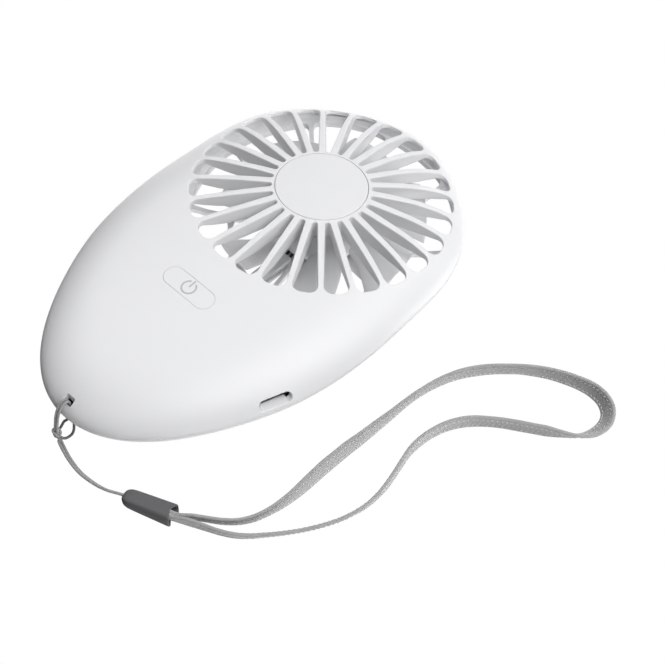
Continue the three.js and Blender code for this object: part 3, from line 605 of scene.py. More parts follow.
# the light thread that shows between the rungs, along both borders of both faces
stitch_shape = Shape()
ball = [(-1.0, 0.0), (-0.9, 0.45), (-0.6, 0.8), (0, 1.0), (0.6, 0.8), (0.9, 0.45), (1.0, 0.0)]
ring = np.linspace(0, 2 * np.pi, 8, endpoint=False)
for face in (-1, 1):
    for row in (-1, 1):
        for at in np.arange(11.0, web_at[-1] - 11.0, RUNG):
            i = int(round(at / web_at[-1] * (len(web_at) - 1)))
            centre = web_line[i] + row * 1.62 * across[i] + face * out[i] * WEB_T / 2 * 0.97
            slant = web_t[i] * 0.8 + across[i] * 0.6 * row
            lift = np.cross(slant, out[i])
            lift /= np.linalg.norm(lift)
            stitch_shape.grid([[centre + slant * 0.42 * a + 0.17 * b * (np.cos(c) * lift + np.sin(c) * out[i]) for c in ring] for a, b in ball], True)
stitches = solid("strap_stitches", stitch_shape, 1e-8)
shade(stitches, 80)
dress(stitches, stitch_mat, "housing")

# ---------------------------------------------------------------- front shell with its grille


def slot_half(n, r0, r1, w0, w1, rc, k1, k2, k3, k4):
    """Half of a slot's outline, from its inner tip to the middle of its outer end, and the directions out of the slot."""
    a = math.pi / n
    slope = math.tan(a) - (w1 - w0) / (2 * math.cos(a) * (r1 - r0))
    base = r0 * math.tan(a) - w0 / (2 * math.cos(a)) - slope * r0
    q = math.hypot(1, slope)
    rho = (slope * r0 + base) / (q - slope)
    uc = r0 + rho
    n_side = np.array([-slope, 1]) / q
    lean_a = math.atan2(n_side[1], n_side[0])
    c = base - rc * q
    A, B, C = 1 + slope**2, 2 * slope * c, c * c - (r1 - rc) ** 2
    cu = (-B + math.sqrt(B * B - 4 * A * C)) / (2 * A)
    centre = np.array([cu, slope * cu + c])
    p, d = [], []
    for t in np.linspace(math.pi, lean_a, k1 + 1):
        d.append((math.cos(t), math.sin(t)))
        p.append((uc + rho * math.cos(t), rho * math.sin(t)))
    first, last = np.array(p[-1]), centre + rc * n_side
    for t in np.linspace(0, 1, k2 + 1)[1:]:
        d.append(tuple(n_side))
        p.append(tuple(first + (last - first) * t))
    end = math.atan2(centre[1], centre[0])
    for t in np.linspace(lean_a, end, k3 + 1)[1:]:
        d.append((math.cos(t), math.sin(t)))
        p.append((centre[0] + rc * math.cos(t), centre[1] + rc * math.sin(t)))
    for t in np.linspace(end, 0, k4 + 1)[1:]:
        d.append((math.cos(t), math.sin(t)))
        p.append((r1 * math.cos(t), r1 * math.sin(t)))
    return np.array(p), np.array(d)


def wedge(p, d, n, r_in, r_out, k1, k2, k3, k4, stem=3):
    """The edge of the sector round a slot: the collar, the middle of the rib, and the outer circle."""
    a = math.pi / n
    out = []
    for j in range(k1 + 1):
        out.append((r_in * math.cos(a * j / k1), r_in * math.sin(a * j / k1)))
    radii = []
    for j in range(k1 + 1, k1 + k2 + 1):
        far = (p[j, 0] * math.tan(a) - p[j, 1]) / (d[j, 1] - d[j, 0] * math.tan(a))
        radii.append((p[j, 0] + far * d[j, 0]) / math.cos(a))
    for r in radii:
        out.append((r * math.cos(a), r * math.sin(a)))
    for j in range(1, stem + 1):
        r = radii[-1] + (r_out - radii[-1]) * j / stem
        out.append((r * math.cos(a), r * math.sin(a)))
    steps = k3 - stem + k4
    for j in range(1, steps + 1):
        t = a * (1 - j / steps)
        out.append((r_out * math.cos(t), r_out * math.sin(t)))
    return np.array(out)


def drop(d, r):
    return r - math.sqrt(max(0, r * r - (r - d) ** 2))


def sectors(shape, n, rings):
    """rings are pairs of local points and a height rule; each is copied round the fan's centre, on both sides."""
    for i in range(n):
        c = math.pi / 2 + RIB_TURN + 2 * math.pi * (i + 0.5) / n
        for side in (-1, 1):
            rows = []
            for uv, rule in rings:
                x = uv[:, 0] * math.cos(c) - side * uv[:, 1] * math.sin(c)
                y = FAN_Y + uv[:, 0] * math.sin(c) + side * uv[:, 1] * math.cos(c)
                rows.append(np.stack([x, y, rule(x, y)], 1))
            shape.grid(rows)


def circle(r, count, rule):
    t = math.pi / 2 + RIB_TURN + 2 * math.pi * np.arange(count) / count
    x, y = r * np.cos(t), FAN_Y + r * np.sin(t)
    return np.stack([x, y, rule(x, y) + 0 * x], 1)


K = (5, 18, 9, 4)
SIDES_IN, SIDES_OUT = 2 * RIBS * K[0], 2 * RIBS * (K[2] - 3 + K[3])
COLLAR_IN, RING_OUT = 13.5, 37.9
half_p, half_d = slot_half(RIBS, SLOT_IN, SLOT_OUT, RIB_IN, RIB_OUT, 2.3, *K)
ROUND, LOW_ROUND, DRAFT = 0.38, 0.3, 0.16

front_shape = Shape()
rings = [(wedge(half_p, half_d, RIBS, COLLAR_IN, RING_OUT, *K), top_z)]
for d in (ROUND, 0.62 * ROUND, 0.34 * ROUND, 0.14 * ROUND, 0.03 * ROUND, 0.0):
    rings.append((half_p + d * half_d, lambda x, y, d=d: top_z(x, y) - drop(d, ROUND)))
for f in (0.2, 0.45, 0.72, 1.0):
    rings.append((half_p - f * DRAFT * half_d, lambda x, y, f=f: (1 - f) * (top_z(x, y) - ROUND) + f * (fin_z(x, y) + LOW_ROUND)))
for d in (0.1 * LOW_ROUND, 0.4 * LOW_ROUND, LOW_ROUND):
    rings.append((half_p + (d - DRAFT) * half_d, lambda x, y, d=d: fin_z(x, y) + drop(d, LOW_ROUND)))
rings.append((wedge(half_p, half_d, RIBS, COLLAR_IN, DUCT_RING, *K), fin_z))
sectors(front_shape, RIBS, rings)

# collar, and the recess that the cap sits in
RECESS_R, RECESS_Z, EASE = 13.08, 18.9, 0.12
rows = [circle(COLLAR_IN, SIDES_IN, top_z)]
for d in (EASE, 0.5 * EASE, 0.15 * EASE, 0.0):
    rows.append(circle(RECESS_R + d, SIDES_IN, lambda x, y, d=d: top_z(x, y) - drop(d, EASE)))
rows.append(circle(RECESS_R, SIDES_IN, lambda x, y: RECESS_Z))
for r in (10.0, 6.0, 3.0, 0.0):
    rows.append(circle(r, SIDES_IN, lambda x, y: RECESS_Z))
front_shape.grid(rows, True)
front_shape.grid([circle(r, SIDES_IN, fin_z) for r in (COLLAR_IN, 11.0, 7.0, 3.5, 0.0)], True)

# the face from the grille to the outline, the edge at the seam, the hollow inside, and the duct
angle = math.pi / 2 + RIB_TURN + 2 * math.pi * np.arange(SIDES_OUT) / SIDES_OUT
ray_x, ray_y = np.cos(angle), np.sin(angle)


def reach(target):
    """Distance from the fan's centre along each ray to where the inset is target."""
    low, high = np.zeros(SIDES_OUT), np.full(SIDES_OUT, 130.0)
    for _ in range(60):
        mid = (low + high) / 2
        deep = inset(ray_x * mid, FAN_Y + ray_y * mid) > target
        low, high = np.where(deep, mid, low), np.where(deep, high, mid)
    return low


def duct(r, flat):
    """Distance along each ray to the duct: a circle set a little toward the strap end, with a flat side there."""
    curve = -DUCT_SHIFT * ray_y + np.sqrt(r * r - (DUCT_SHIFT * ray_x) ** 2)
    return np.minimum(curve, flat / np.maximum(-ray_y, 1e-3))


def along(dist, z):
    x, y = ray_x * dist, FAN_Y + ray_y * dist
    return np.stack([x, y, z(x, y) if callable(z) else z + 0 * x], 1)


FRONT_LOW = 8.43
start = inset(ray_x * RING_OUT, FAN_Y + ray_y * RING_OUT)
bend = np.minimum(TOP_EDGE, 0.6 * start)
rows = []
for j in range(23):
    rows.append(along(reach(start + (bend - start) * j / 22), top_z))
rows[0] = along(np.full(SIDES_OUT, RING_OUT), top_z)
turn_a = np.arccos(np.clip(1 - bend / TOP_EDGE, 0, 1) ** (TOP_POWER / 2))
for j in range(1, 22):
    psi = turn_a * (1 - j / 21.3)
    rows.append(along(reach(TOP_EDGE * (1 - np.cos(psi) ** (2 / TOP_POWER))), top_z))
rows.append(along(reach(0.0), SEAM_Z))
rows.append(along(reach(0.02), FRONT_LOW + 0.02))
rows.append(along(reach(0.05), FRONT_LOW))
inner = reach(WALL)
duct_in, duct_out = duct(DUCT_IN, DUCT_FLAT), np.minimum(duct(DUCT_OUT, DUCT_FLAT + 1.3), inner - 0.4)
hollow = lambda x, y: np.maximum(top_z(x, y, WALL), FRONT_LOW + 0.3)
rows.append(along(inner, FRONT_LOW))
rows.append(along(inner, hollow))
for f in (0.97, 0.92, 0.85, 0.75, 0.62, 0.48, 0.33, 0.17):
    rows.append(along(duct_out + (inner - duct_out) * f, hollow))
rows.append(along(duct_out, hollow))
rows.append(along(duct_out, FRONT_LOW))
rows.append(along(duct_in, FRONT_LOW))
rows.append(along(duct_in, fin_z))
rows.append(along(np.full(SIDES_OUT, DUCT_RING), fin_z))
front_shape.grid(rows, True)
front = solid("front_shell_moulding", front_shape)


def stadium(length, width, count=30):
    """A pill outline with its long side along X, about the button's centre, with the directions out of it."""
    r = width / 2
    p, d = [], []
    for end, first in ((1, -90), (-1, 90)):
        for t in np.linspace(first, first + 180, count + 1):
            c, s = math.cos(math.radians(t)), math.sin(math.radians(t))
            p.append((end * (length / 2 - r) + r * c, r * s))
            d.append((c, s))
        flat = 24
        x = end * (length / 2 - r)
        for t in np.linspace(0, 1, flat + 1)[1:-1]:
            p.append((x - 2 * x * t, r * end))
            d.append((0, end))
    return np.array(p), np.array(d)


def tunnel(name, outline, middle, radius, low, surface):
    """A cutter that goes up through a surface and opens into a small round there."""
    p, d = outline
    rows = [np.concatenate([p, np.full((len(p), 1), low)], 1)]
    steps = [(0.0, 1.0), (0.03, None), (0.14, None), (0.34, None), (0.62, None), (1.0, None)]
    for f, _ in steps:
        q = p + f * radius * d
        rows.append(np.column_stack([q, surface(q[:, 0] + middle[0], q[:, 1] + middle[1]) - drop(f * radius, radius)]))
    q = p + 1.0 * radius * d
    rows.append(np.column_stack([q, surface(q[:, 0] + middle[0], q[:, 1] + middle[1]) + 3]))
    rows = np.array(rows)
    rows[..., 0] += middle[0]
    rows[..., 1] += middle[1]
    shape = Shape()
    shape.grid(rows, True)
    shape.lid(rows[0])
    shape.lid(rows[-1])
    return solid(name, shape)


BUTTON_GAP = 0.07
combine(front, tunnel("cut_button", stadium(BUTTON_L + 2 * BUTTON_GAP, BUTTON_W + 2 * BUTTON_GAP), (0, BUTTON_Y), 0.06, 12.0, top_z), "DIFFERENCE")


def rounded_box(wide, deep, r, count=6):
    p, d = [], []
    for cx, cy, first in ((1, 1, 0), (-1, 1, 90), (-1, -1, 180), (1, -1, 270)):
        for t in np.linspace(first, first + 90, count + 1):
            c, s = math.cos(math.radians(t)), math.sin(math.radians(t))
            p.append((cx * (wide / 2 - r) + r * c, cy * (deep / 2 - r) + r * s))
            d.append((c, s))
    return np.array(p), np.array(d)


combine(front, tunnel("cut_hole", rounded_box(HOLE_X, HOLE_HIGH - HOLE_LOW, 0.35), (0, (HOLE_LOW + HOLE_HIGH) / 2), 0.18, 5.0, top_z), "DIFFERENCE")

# the charging port, cut straight in from the side, with a rounded mouth
port_r = float(rim(PORT_ANGLE))
port_at = np.array([port_r * math.sin(PORT_ANGLE), OUTLINE_Y + port_r * math.cos(PORT_ANGLE), PORT_Z])
slope_t = (float(rim(PORT_ANGLE + 1e-4)) - float(rim(PORT_ANGLE - 1e-4))) / 2e-4
tan_v = np.array([slope_t * math.sin(PORT_ANGLE) + port_r * math.cos(PORT_ANGLE), slope_t * math.cos(PORT_ANGLE) - port_r * math.sin(PORT_ANGLE), 0])
tan_v /= np.linalg.norm(tan_v)
if tan_v[1] < 0:
    tan_v = -tan_v
way = np.array([-tan_v[1], tan_v[0], 0])
if way @ np.array([math.sin(PORT_ANGLE), math.cos(PORT_ANGLE), 0]) < 0:
    way = -way


def port_depth(q):
    """How far along the way out each point of the outline leaves the body."""
    low, high = np.full(len(q), -12.0), np.full(len(q), 4.0)
    for _ in range(50):
        mid = (low + high) / 2
        x = port_at[0] + q[:, 0] * tan_v[0] + mid * way[0]
        y = port_at[1] + q[:, 0] * tan_v[1] + mid * way[1]
        inside = (inset(x, y) > 0) & (top_z(x, y) > PORT_Z + q[:, 1])
        low, high = np.where(inside, mid, low), np.where(inside, high, mid)
    return low


lining = np.array([(u, v) for u, v in [(-5.85, -2.3), (3.4, -2.3), (3.4, 2.6), (-5.85, 2.6)]])
lining = np.concatenate([np.linspace(lining[k], lining[(k + 1) % 4], 8, endpoint=False) for k in range(4)])
rows = [port_at + lining[:, :1] * tan_v + lining[:, 1:] * axis_z + z[:, None] * way for z in (port_depth(lining) - 0.6, np.full(len(lining), -5.2))]
lining_shape = Shape()
lining_shape.grid(rows, True)
lining_shape.lid(rows[0])
lining_shape.lid(rows[-1])
combine(front, solid("port_lining", lining_shape), "UNION")
port_p, port_d = rounded_box(PORT_W, PORT_H, PORT_R, 9)
rows = []
for f, depth in ((0, -7.0), (0, None), (0.05, None), (0.2, None), (0.5, None), (1.0, None), (1.0, 4.5)):
    q = port_p + 0.3 * f * port_d
    z = np.full(len(q), depth) if depth is not None else port_depth(q) - drop(0.3 * f, 0.3) + (0 if f < 1 else 0.0)
    rows.append(port_at + q[:, :1] * tan_v + q[:, 1:] * axis_z + z[:, None] * way)
port_shape = Shape()
port_shape.grid(rows, True)
port_shape.lid(rows[0])
port_shape.lid(rows[-1])
combine(front, solid("cut_port", port_shape), "DIFFERENCE")
shade(front, 32, lambda x, y: (top_z(x, y), top_normal(x, y)))
dress(front, shell_mat, "housing", ["front_shell"])

# ---------------------------------------------------------------- rear shell with its intake

REAR_HIGH = 8.35
back_bend = np.minimum(BACK_EDGE, 0.6 * start)
first_a = math.asin(((SEAM_Z - REAR_HIGH) / BACK_H) ** (BACK_POWER / 2))
last_a = np.arccos(np.clip(1 - back_bend / BACK_EDGE, 0, 1) ** (BACK_POWER / 2))
rear_shape = Shape()
rows = [along(reach(0.06), REAR_HIGH)]
for j in range(22):
    psi = first_a + (last_a - first_a) * j / 21
    rows.append(along(reach(BACK_EDGE * (1 - np.maximum(np.cos(psi), 0.0) ** (2 / BACK_POWER))), REAR_HIGH - 0.03 if j == 0 else back_z))
for j in range(1, 21):
    rows.append(along(reach(back_bend + (start - back_bend) * j / 20), back_z))
for r in (37.0, 36.0, 34.5, 32.5, 30.0, 26.0, 20.0, 14.0, 7.0, 0.0):
    rows.append(along(np.full(SIDES_OUT, r), back_z))
rear_shape.grid(rows, True)
room = lambda x, y: np.minimum(back_z(x, y, WALL), REAR_HIGH - 0.3)
rows = [along(reach(0.06), REAR_HIGH), along(inner, REAR_HIGH), along(inner, room)]
for f in (0.97, 0.92, 0.85, 0.75, 0.62, 0.48, 0.33, 0.17, 0.0):
    rows.append(along(duct_out + (inner - duct_out) * f, room))
rows += [along(duct_out, REAR_HIGH), along(duct_in, REAR_HIGH), along(duct_in, room)]
for r in (36.0, 34.0, 31.0, 26.0, 20.0, 14.0, 7.0, 0.0):
    rows.append(along(np.full(SIDES_OUT, r), room))
rear_shape.grid(rows, True)
rear = solid("rear_shell_moulding", rear_shape)


def fillet(points, r, count=5):
    """A convex outline with its corners rounded, and the directions out of it."""
    v = np.asarray(points, float)
    p, d = [], []
    for i in range(len(v)):
        a, b, c = v[i - 1], v[i], v[(i + 1) % len(v)]
        e, g = (b - a) / np.linalg.norm(b - a), (c - b) / np.linalg.norm(c - b)
        n0, n1 = np.array([e[1], -e[0]]), np.array([g[1], -g[0]])
        half_a = math.acos(np.clip(n0 @ n1, -1, 1)) / 2
        mid = (n0 + n1) / np.linalg.norm(n0 + n1)
        bend_r = min(r, 0.45 * min(np.linalg.norm(b - a), np.linalg.norm(c - b)) / max(math.tan(half_a), 1e-6))
        centre = b - mid * bend_r / math.cos(half_a)
        t0 = math.atan2(n0[1], n0[0])
        for t in np.linspace(t0, t0 + 2 * half_a, count + 1):
            d.append((math.cos(t), math.sin(t)))
            p.append((centre[0] + bend_r * math.cos(t), centre[1] + bend_r * math.sin(t)))
    return np.array(p), np.array(d)


def column(name, outline, middle, rows, turn=0.0):
    """A cutter or post from rows of (offset outward, height); a callable height follows a surface."""
    p, d = outline
    c, s = math.cos(turn), math.sin(turn)
    made = []
    for offset, z in rows:
        q = p + offset * d
        x, y = middle[0] + c * q[:, 0] - s * q[:, 1], middle[1] + s * q[:, 0] + c * q[:, 1]
        made.append(np.column_stack([x, y, z(x, y) if callable(z) else np.full(len(x), float(z))]))
    shape = Shape()
    shape.grid(made, True)
    shape.lid(made[0])
    shape.lid(made[-1])
    return solid(name, shape)


def disc(r, count=32):
    t = 2 * math.pi * np.arange(count) / count
    d = np.stack([np.cos(t), np.sin(t)], 1)
    return r * d, d


BACK_RIBS, BACK_RIB_W, BACK_TURN, SOFT_EDGE = 10, 1.3, math.radians(12), 0.25


def rear_slot(r0, r1, turn):
    """Corners of a rear slot between two ribs: an arc outside, a straight edge inside, and none of it past the duct's flat side."""
    half_a = lambda r: math.pi / BACK_RIBS - math.asin(BACK_RIB_W / 2 / r)
    near = r0 / math.cos(half_a(r0))
    polar = [(near, -half_a(near))] + [(r1, half_a(r1) * (k / 4 - 1)) for k in range(9)] + [(near, half_a(near))]
    v = [np.array([r * math.cos(t + turn), FAN_Y - DUCT_SHIFT + r * math.sin(t + turn)]) for r, t in polar]
    low = FAN_Y - DUCT_FLAT + 0.5
    kept = []
    for k, q in enumerate(v):
        p = v[k - 1]
        if (p[1] < low) != (q[1] < low):
            kept.append(p + (q - p) * (low - p[1]) / (q[1] - p[1]))
        if q[1] >= low:
            kept.append(q)
    return kept


for r0, r1, corner in ((14.6, 24.6, 1.0), (25.8, 38.3, 1.2)):
    for i in range(BACK_RIBS):
        outline = fillet(rear_slot(r0, r1, math.pi / 2 + BACK_TURN + 2 * math.pi * (i + 0.5) / BACK_RIBS), corner)
        rows = [(SOFT_EDGE, -2.0)] + [(d, lambda x, y, d=d: back_z(x, y) + drop(d, SOFT_EDGE)) for d in (SOFT_EDGE, 0.6 * SOFT_EDGE, 0.25 * SOFT_EDGE, 0.0)]
        combine(rear, column("cut_intake", outline, (0, 0), rows + [(0.0, 7.9)]), "DIFFERENCE")
strut = fillet([(-2.2, FAN_Y - 38.2), (2.2, FAN_Y - 38.2), (2.2, FAN_Y - 14.0), (-2.2, FAN_Y - 14.0)], 0.4)
combine(rear, column("strut", strut, (0, 0), [(-0.25, 0.03), (-0.08, 0.11), (0.0, 0.28), (0.0, WALL - 0.03)]), "UNION")
notch_cut = fillet([(-2.4, FAN_Y - 40.0), (2.4, FAN_Y - 40.0), (2.4, FAN_Y - 36.9), (-2.4, FAN_Y - 36.9)], 0.3)
combine(rear, column("cut_lead", notch_cut, (0, 0), [(0.0, WALL + 0.03), (0.0, 5.2)]), "DIFFERENCE")
combine(rear, column("cut_strap", rounded_box(HOLE_X, HOLE_HIGH - HOLE_LOW, 0.35), (0, (HOLE_LOW + HOLE_HIGH) / 2),
                     [(0.2, -2.0), (0.2, back_z), (0.08, lambda x, y: back_z(x, y) + drop(0.08, 0.2)), (0.0, lambda x, y: back_z(x, y) + 0.2), (0.0, 12.0)]), "DIFFERENCE")
SCREWS = [(31.0, -16.0), (-31.0, -16.0), (0.0, -56.0)]
for at in SCREWS:
    combine(rear, column("post", disc(3.3), at, [(0.0, 1.9), (0.0, REAR_HIGH)]), "UNION")
    combine(rear, column("cut_head", disc(2.5, 48), at, [(0.2, -2.0), (0.2, back_z), (0.06, lambda x, y: back_z(x, y) + drop(0.06, 0.2)), (0.0, lambda x, y: back_z(x, y) + 0.2), (0.0, 3.0)]), "DIFFERENCE")
    combine(rear, column("cut_shank", disc(1.3), at, [(0.0, 2.5), (0.0, 9.0)]), "DIFFERENCE")


def back_normal(x, y):
    h = 1e-3
    dx = (back_z(x + h, y) - back_z(x - h, y)) / (2 * h)
    dy = (back_z(x, y + h) - back_z(x, y - h)) / (2 * h)
    n = np.stack([dx, dy, -np.ones_like(dx)], -1)
    return n / np.linalg.norm(n, axis=-1, keepdims=True)


shade(rear, 32, lambda x, y: (back_z(x, y), back_normal(x, y)))
dress(rear, shell_mat, "housing", ["rear_shell"])

# the case screws: a rounded head with a cross recess, and a threaded shank
for i, at in enumerate(SCREWS):
    t = 2 * math.pi * np.arange(40) / 40
    profile = [(0.0, 1.0), (1.2, 1.0), (1.75, 1.06), (2.0, 1.2), (2.1, 1.5), (2.1, 2.3), (1.6, 2.7), (0.95, 2.7)]
    for k in range(12):
        profile += [(0.95, 3.0 + 0.7 * k), (0.74, 3.2 + 0.7 * k), (0.74, 3.35 + 0.7 * k), (0.95, 3.55 + 0.7 * k)]
    profile += [(0.5, 12.0), (0.0, 12.2)]
    screw_shape = Shape()
    screw_shape.grid([np.stack([at[0] + r * np.cos(t), at[1] + r * np.sin(t), z + 0 * t], 1) for r, z in profile], True)
    screw = solid(f"case_screw_{i + 1}_turned", screw_shape)
    for turn_s in (0.3, 0.3 + math.pi / 2):
        combine(screw, column("cut_cross", fillet([(-1.2, -0.26), (1.2, -0.26), (1.2, 0.26), (-1.2, 0.26)], 0.12), at, [(0.06, 0.5), (0.0, 1.0), (-0.1, 2.0)], turn_s), "DIFFERENCE")
    shade(screw, 40)
    dress(screw, screw_mat, "housing", [f"case_screw_{i + 1}"])

# ---------------------------------------------------------------- cap and button

CAP_R, CAP_FLOOR = 12.92, 19.2
cap_shape = Shape()
rows = [circle(r, 260, top_z) for r in (0.0, 2.0, 4.0, 6.0, 8.0, 9.5, 10.8, 11.8, 12.4)]
for d in (0.14, 0.08, 0.03, 0.0):
    rows.append(circle(CAP_R - d, 260, lambda x, y, d=d: top_z(x, y) - drop(d, 0.14)))
rows += [circle(r, 260, lambda x, y: CAP_FLOOR) for r in (CAP_R, 8.0, 4.0, 0.0)]
cap_shape.grid(rows, True)
cap = solid("grille_cap_disc", cap_shape)
shade(cap, 40, lambda x, y: (top_z(x, y), top_normal(x, y)))
dress(cap, cap_mat, "housing", ["grille_cap"])


def pill(length, width, z):
    p, _ = stadium(length, width)
    x, y = p[:, 0], p[:, 1] + BUTTON_Y
    return np.column_stack([x, y, z(x, y) if callable(z) else np.full(len(x), z)])


button_shape = Shape()
LONG, SHORT, SOFT = BUTTON_L, BUTTON_W, 0.08
rows = [pill(LONG - SHORT + w, w, top_z) for w in (0.0, 1.0, 2.2, 3.4, 4.4, 5.2, 5.6)]
for d in (SOFT, 0.6 * SOFT, 0.25 * SOFT, 0.0):
    rows.append(pill(LONG - 2 * d, SHORT - 2 * d, lambda x, y, d=d: top_z(x, y) - drop(d, SOFT)))
rows.append(pill(LONG, SHORT, 15.4))
rows.append(pill(LONG + 1.9, SHORT + 1.9, 15.4))
rows.append(pill(LONG + 2.2, SHORT + 2.2, 15.2))
rows.append(pill(LONG + 2.2, SHORT + 2.2, 14.4))
rows += [pill(LONG - SHORT + w, w, 14.4) for w in (6.0, 3.0, 0.0)]
button_shape.grid(rows, True)
button = solid("power_button_key", button_shape)
shade(button, 40, lambda x, y: (top_z(x, y), top_normal(x, y)))
dress(button, button_mat, "button", ["power_button"])

# the printed power mark: an open ring and a bar
mark_shape = Shape()
INK = 0.25


def inked(points):
    """A printed line of the mark, a hair above the key."""
    p = np.asarray(points, float)
    t = np.gradient(p, axis=0)
    t /= np.linalg.norm(t, axis=1, keepdims=True)
    n = np.stack([-t[:, 1], t[:, 0]], 1)
    left, rght = p + INK * n, p - INK * n
    caps = []
    for i, sign in ((0, -1), (-1, 1)):
        caps.append([p[i] + INK * (math.cos(a) * sign * t[i] + math.sin(a) * n[i]) for a in np.linspace(math.pi / 2, -math.pi / 2, 9)])
    lift = lambda q, h: np.column_stack([q[:, 0], q[:, 1], top_z(q[:, 0], q[:, 1]) + h])
    ring = np.concatenate([left, np.array(caps[1])[1:-1], rght[::-1], np.array(caps[0])[::-1][1:-1]])
    core = np.concatenate([p, np.repeat(p[-1:], 7, 0), p[::-1], np.repeat(p[:1], 7, 0)])
    mark_shape.grid([lift(core, 0.03), lift(core + 0.85 * (ring - core), 0.03), lift(ring, 0.015), lift(ring, -0.02), lift(core, -0.02)], True)


GAP_A = math.radians(30)
turns = np.linspace(math.pi / 2 + GAP_A, math.pi / 2 + 2 * math.pi - GAP_A, 60)
inked(np.stack([2.0 * np.cos(turns), BUTTON_Y + 2.0 * np.sin(turns)], 1))
inked(np.stack([np.zeros(14), BUTTON_Y + np.linspace(0.3, 2.4, 14)], 1))
mark = solid("power_mark", mark_shape, 1e-7)
shade(mark, 40, lambda x, y: (top_z(x, y) + 0.03, top_normal(x, y)))
dress(mark, mark_mat, "button")

# ---------------------------------------------------------------- fan wheel

HUB_R, TIP_R, BLADES = 13.0, 29.6, 7
BLADE_TURN, BLADE_SPAN, BLADE_SWEEP = math.radians(9.9), 0.352, 0.248


def lathe(name, profile, count=96):
    shape = Shape()
    t = 2 * math.pi * np.arange(count) / count
    rows = [np.stack([r * np.cos(t), FAN_Y + r * np.sin(t), z + 0 * t], 1) for r, z in profile]
    shape.grid(rows + rows[:1], True)
    return solid(name, shape)


wheel = lathe("impeller_wheel", [(1.2, 10.8), (2.8, 10.8), (2.8, 13.5), (11.9, 13.5), (11.9, 3.75), (12.0, 3.6), (12.85, 3.6), (13, 3.75), (13, 8), (13, 14.1),
                                 (12.95, 14.32), (12.82, 14.51), (12.62, 14.64), (12.4, 14.7), (8, 14.7), (4, 14.7), (1.3, 14.7), (1.2, 14.6)])
for i in range(BLADES):
    shape = Shape()
    top_rows, low_rows = [], []
    span_c = np.sin(np.linspace(-math.pi / 2, math.pi / 2, 25))
    for s_ in 1 - (1 - np.linspace(0, 1, 34)) ** 1.6:
        r = HUB_R - 0.5 + s_ * (TIP_R - HUB_R + 0.5)
        top = 13.1 - (r - HUB_R) * 0.15
        mid, lift_ = (top + 4.6) / 2, (top - 4.6) / 2 - 0.45
        a = 2 * math.pi * i / BLADES + BLADE_TURN + span_c * (BLADE_SPAN - 0.05 * s_) - BLADE_SWEEP * s_
        z = mid + span_c * lift_ + 0.6 * (1 - span_c**2)
        half = 0.45 * np.sqrt(np.maximum(0, 1 - np.abs(span_c) ** 10)) * math.sqrt(max(0, 1 - s_**40))
        x, y = r * np.cos(a), FAN_Y + r * np.sin(a)
        top_rows.append(np.stack([x, y, z + half], 1))
        low_rows.append(np.stack([x, y, z - half], 1))
    shape.grid(top_rows)
    shape.grid(low_rows)
    root = [np.array(top_rows[0]), np.array(low_rows[0])]
    shape.grid(root)
    combine(wheel, solid(f"blade_{i}", shape), "UNION")
shade(wheel, 40)
dress(wheel, fan_mat, "rotor", ["impeller"])

# ---------------------------------------------------------------- pieces that keep their own shape

FINISH = {
    "lead_cover": shell_mat, "switch_plunger": black_mat, "switch_base": black_mat, "rotor_yoke": steel_mat, "rotor_magnet": magnet_mat,
    "motor_shaft": steel_mat, "motor_board": board_mat, "bearing_tube": brass_mat, "sleeve_bearing": bronze_mat, "stator_core": stator_mat,
    "stator_coil_1": copper_mat, "stator_coil_2": copper_mat, "stator_coil_3": copper_mat, "stator_coil_4": copper_mat,
    "battery_cell": foil_mat, "battery_pad": foam_mat, "main_board": board_mat, "usb_socket": port_mat, "usb_tongue": black_mat,
    "charge_chip": black_mat, "driver_chip": black_mat, "inductor": ferrite_mat, "status_led": led_mat, "motor_lead_red": wire_mat,
    "motor_lead_black": wire_mat, "battery_lead_red": red_mat, "battery_lead_black": wire_mat,
}
for name, mat in FINISH.items():
    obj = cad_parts[name]
    obj = obj if hasattr(obj, "material_slots") else bpy.data.objects[name]
    if not obj.material_slots:
        obj.data.materials.append(mat)
    for holder in obj.material_slots:
        holder.material = mat

# ---------------------------------------------------------------- floor and light

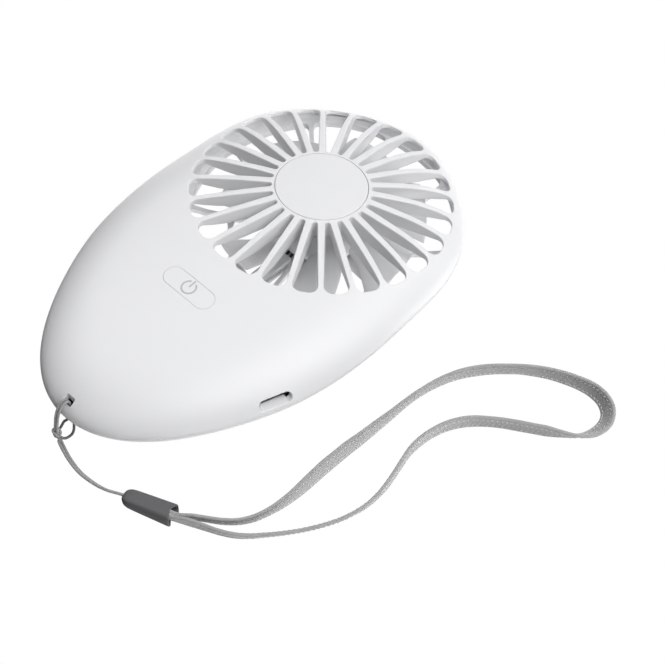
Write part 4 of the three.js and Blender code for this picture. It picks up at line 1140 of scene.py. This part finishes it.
floor_mesh = bpy.data.meshes.new("floor")
bm = bmesh.new()
bmesh.ops.create_grid(bm, x_segments=2, y_segments=2, size=3.0)
bm.to_mesh(floor_mesh)
bm.free()
floor = link("floor", floor_mesh)
floor.location = (0, 0, -0.0004)
floor_mat = bpy.data.materials.new("floor_white")
floor_mat.use_nodes = True
tree = floor_mat.node_tree
tree.nodes.clear()
glow = node(tree, "ShaderNodeEmission", Strength=1.0)
glow.inputs["Color"].default_value = (1, 1, 1, 1)
end = node(tree, "ShaderNodeOutputMaterial")
tree.links.new(glow.outputs["Emission"], end.inputs["Surface"])
floor.data.materials.append(floor_mat)
floor.visible_diffuse = False
floor.visible_glossy = False
floor.visible_transmission = False
floor.visible_shadow = False

world = bpy.data.worlds.new("studio")
scene.world = world
world.use_nodes = True
sky = world.node_tree.nodes["Background"]
sky.inputs["Color"].default_value = (1, 1, 1, 1)
sky.inputs["Strength"].default_value = 0.0


def softbox(name, azimuth, elevation, size, power, distance=0.7, middle=(0.0, 0.0, 0.01)):
    """A square panel of light that faces the object; azimuth is measured as the camera's is."""
    a, e = math.radians(azimuth), math.radians(elevation)
    away = Vector((math.sin(a) * math.cos(e), -math.cos(a) * math.cos(e), math.sin(e)))
    data = bpy.data.lights.new(name, "AREA")
    data.shape = "SQUARE"
    data.size = size
    data.energy = power
    lamp = bpy.data.objects.new(name, data)
    scene.collection.objects.link(lamp)
    lamp.location = Vector(middle) + away * distance
    lamp.rotation_mode = "QUATERNION"
    lamp.rotation_quaternion = away.to_track_quat("Z", "Y")
    return lamp


# panels all round, and low ones that stand in for the light a pale floor throws back up
LIGHTS = [(-130, -25, 1.65), (-130, 12, 0.40), (-170, -25, 1.26), (-170, 12, 0.72), (-90, 40, 1.06), (-90, 65, 1.24), (0, -85, 1.15), (0, 88, 0.12), (132, -25, 2.38), (132, 40, 1.34),
          (43, -25, 2.08), (43, 12, 0.22), (88, -25, 1.62), (88, 40, 1.26), (88, 65, 2.95)]
for azimuth, elevation, power in LIGHTS:
    softbox(f"light_{azimuth}_{elevation}", azimuth, elevation, 0.5, power)

scene.view_settings.view_transform = "Standard"
scene.view_settings.look = "None"
scene.view_settings.exposure = 0
scene.view_settings.gamma = 1
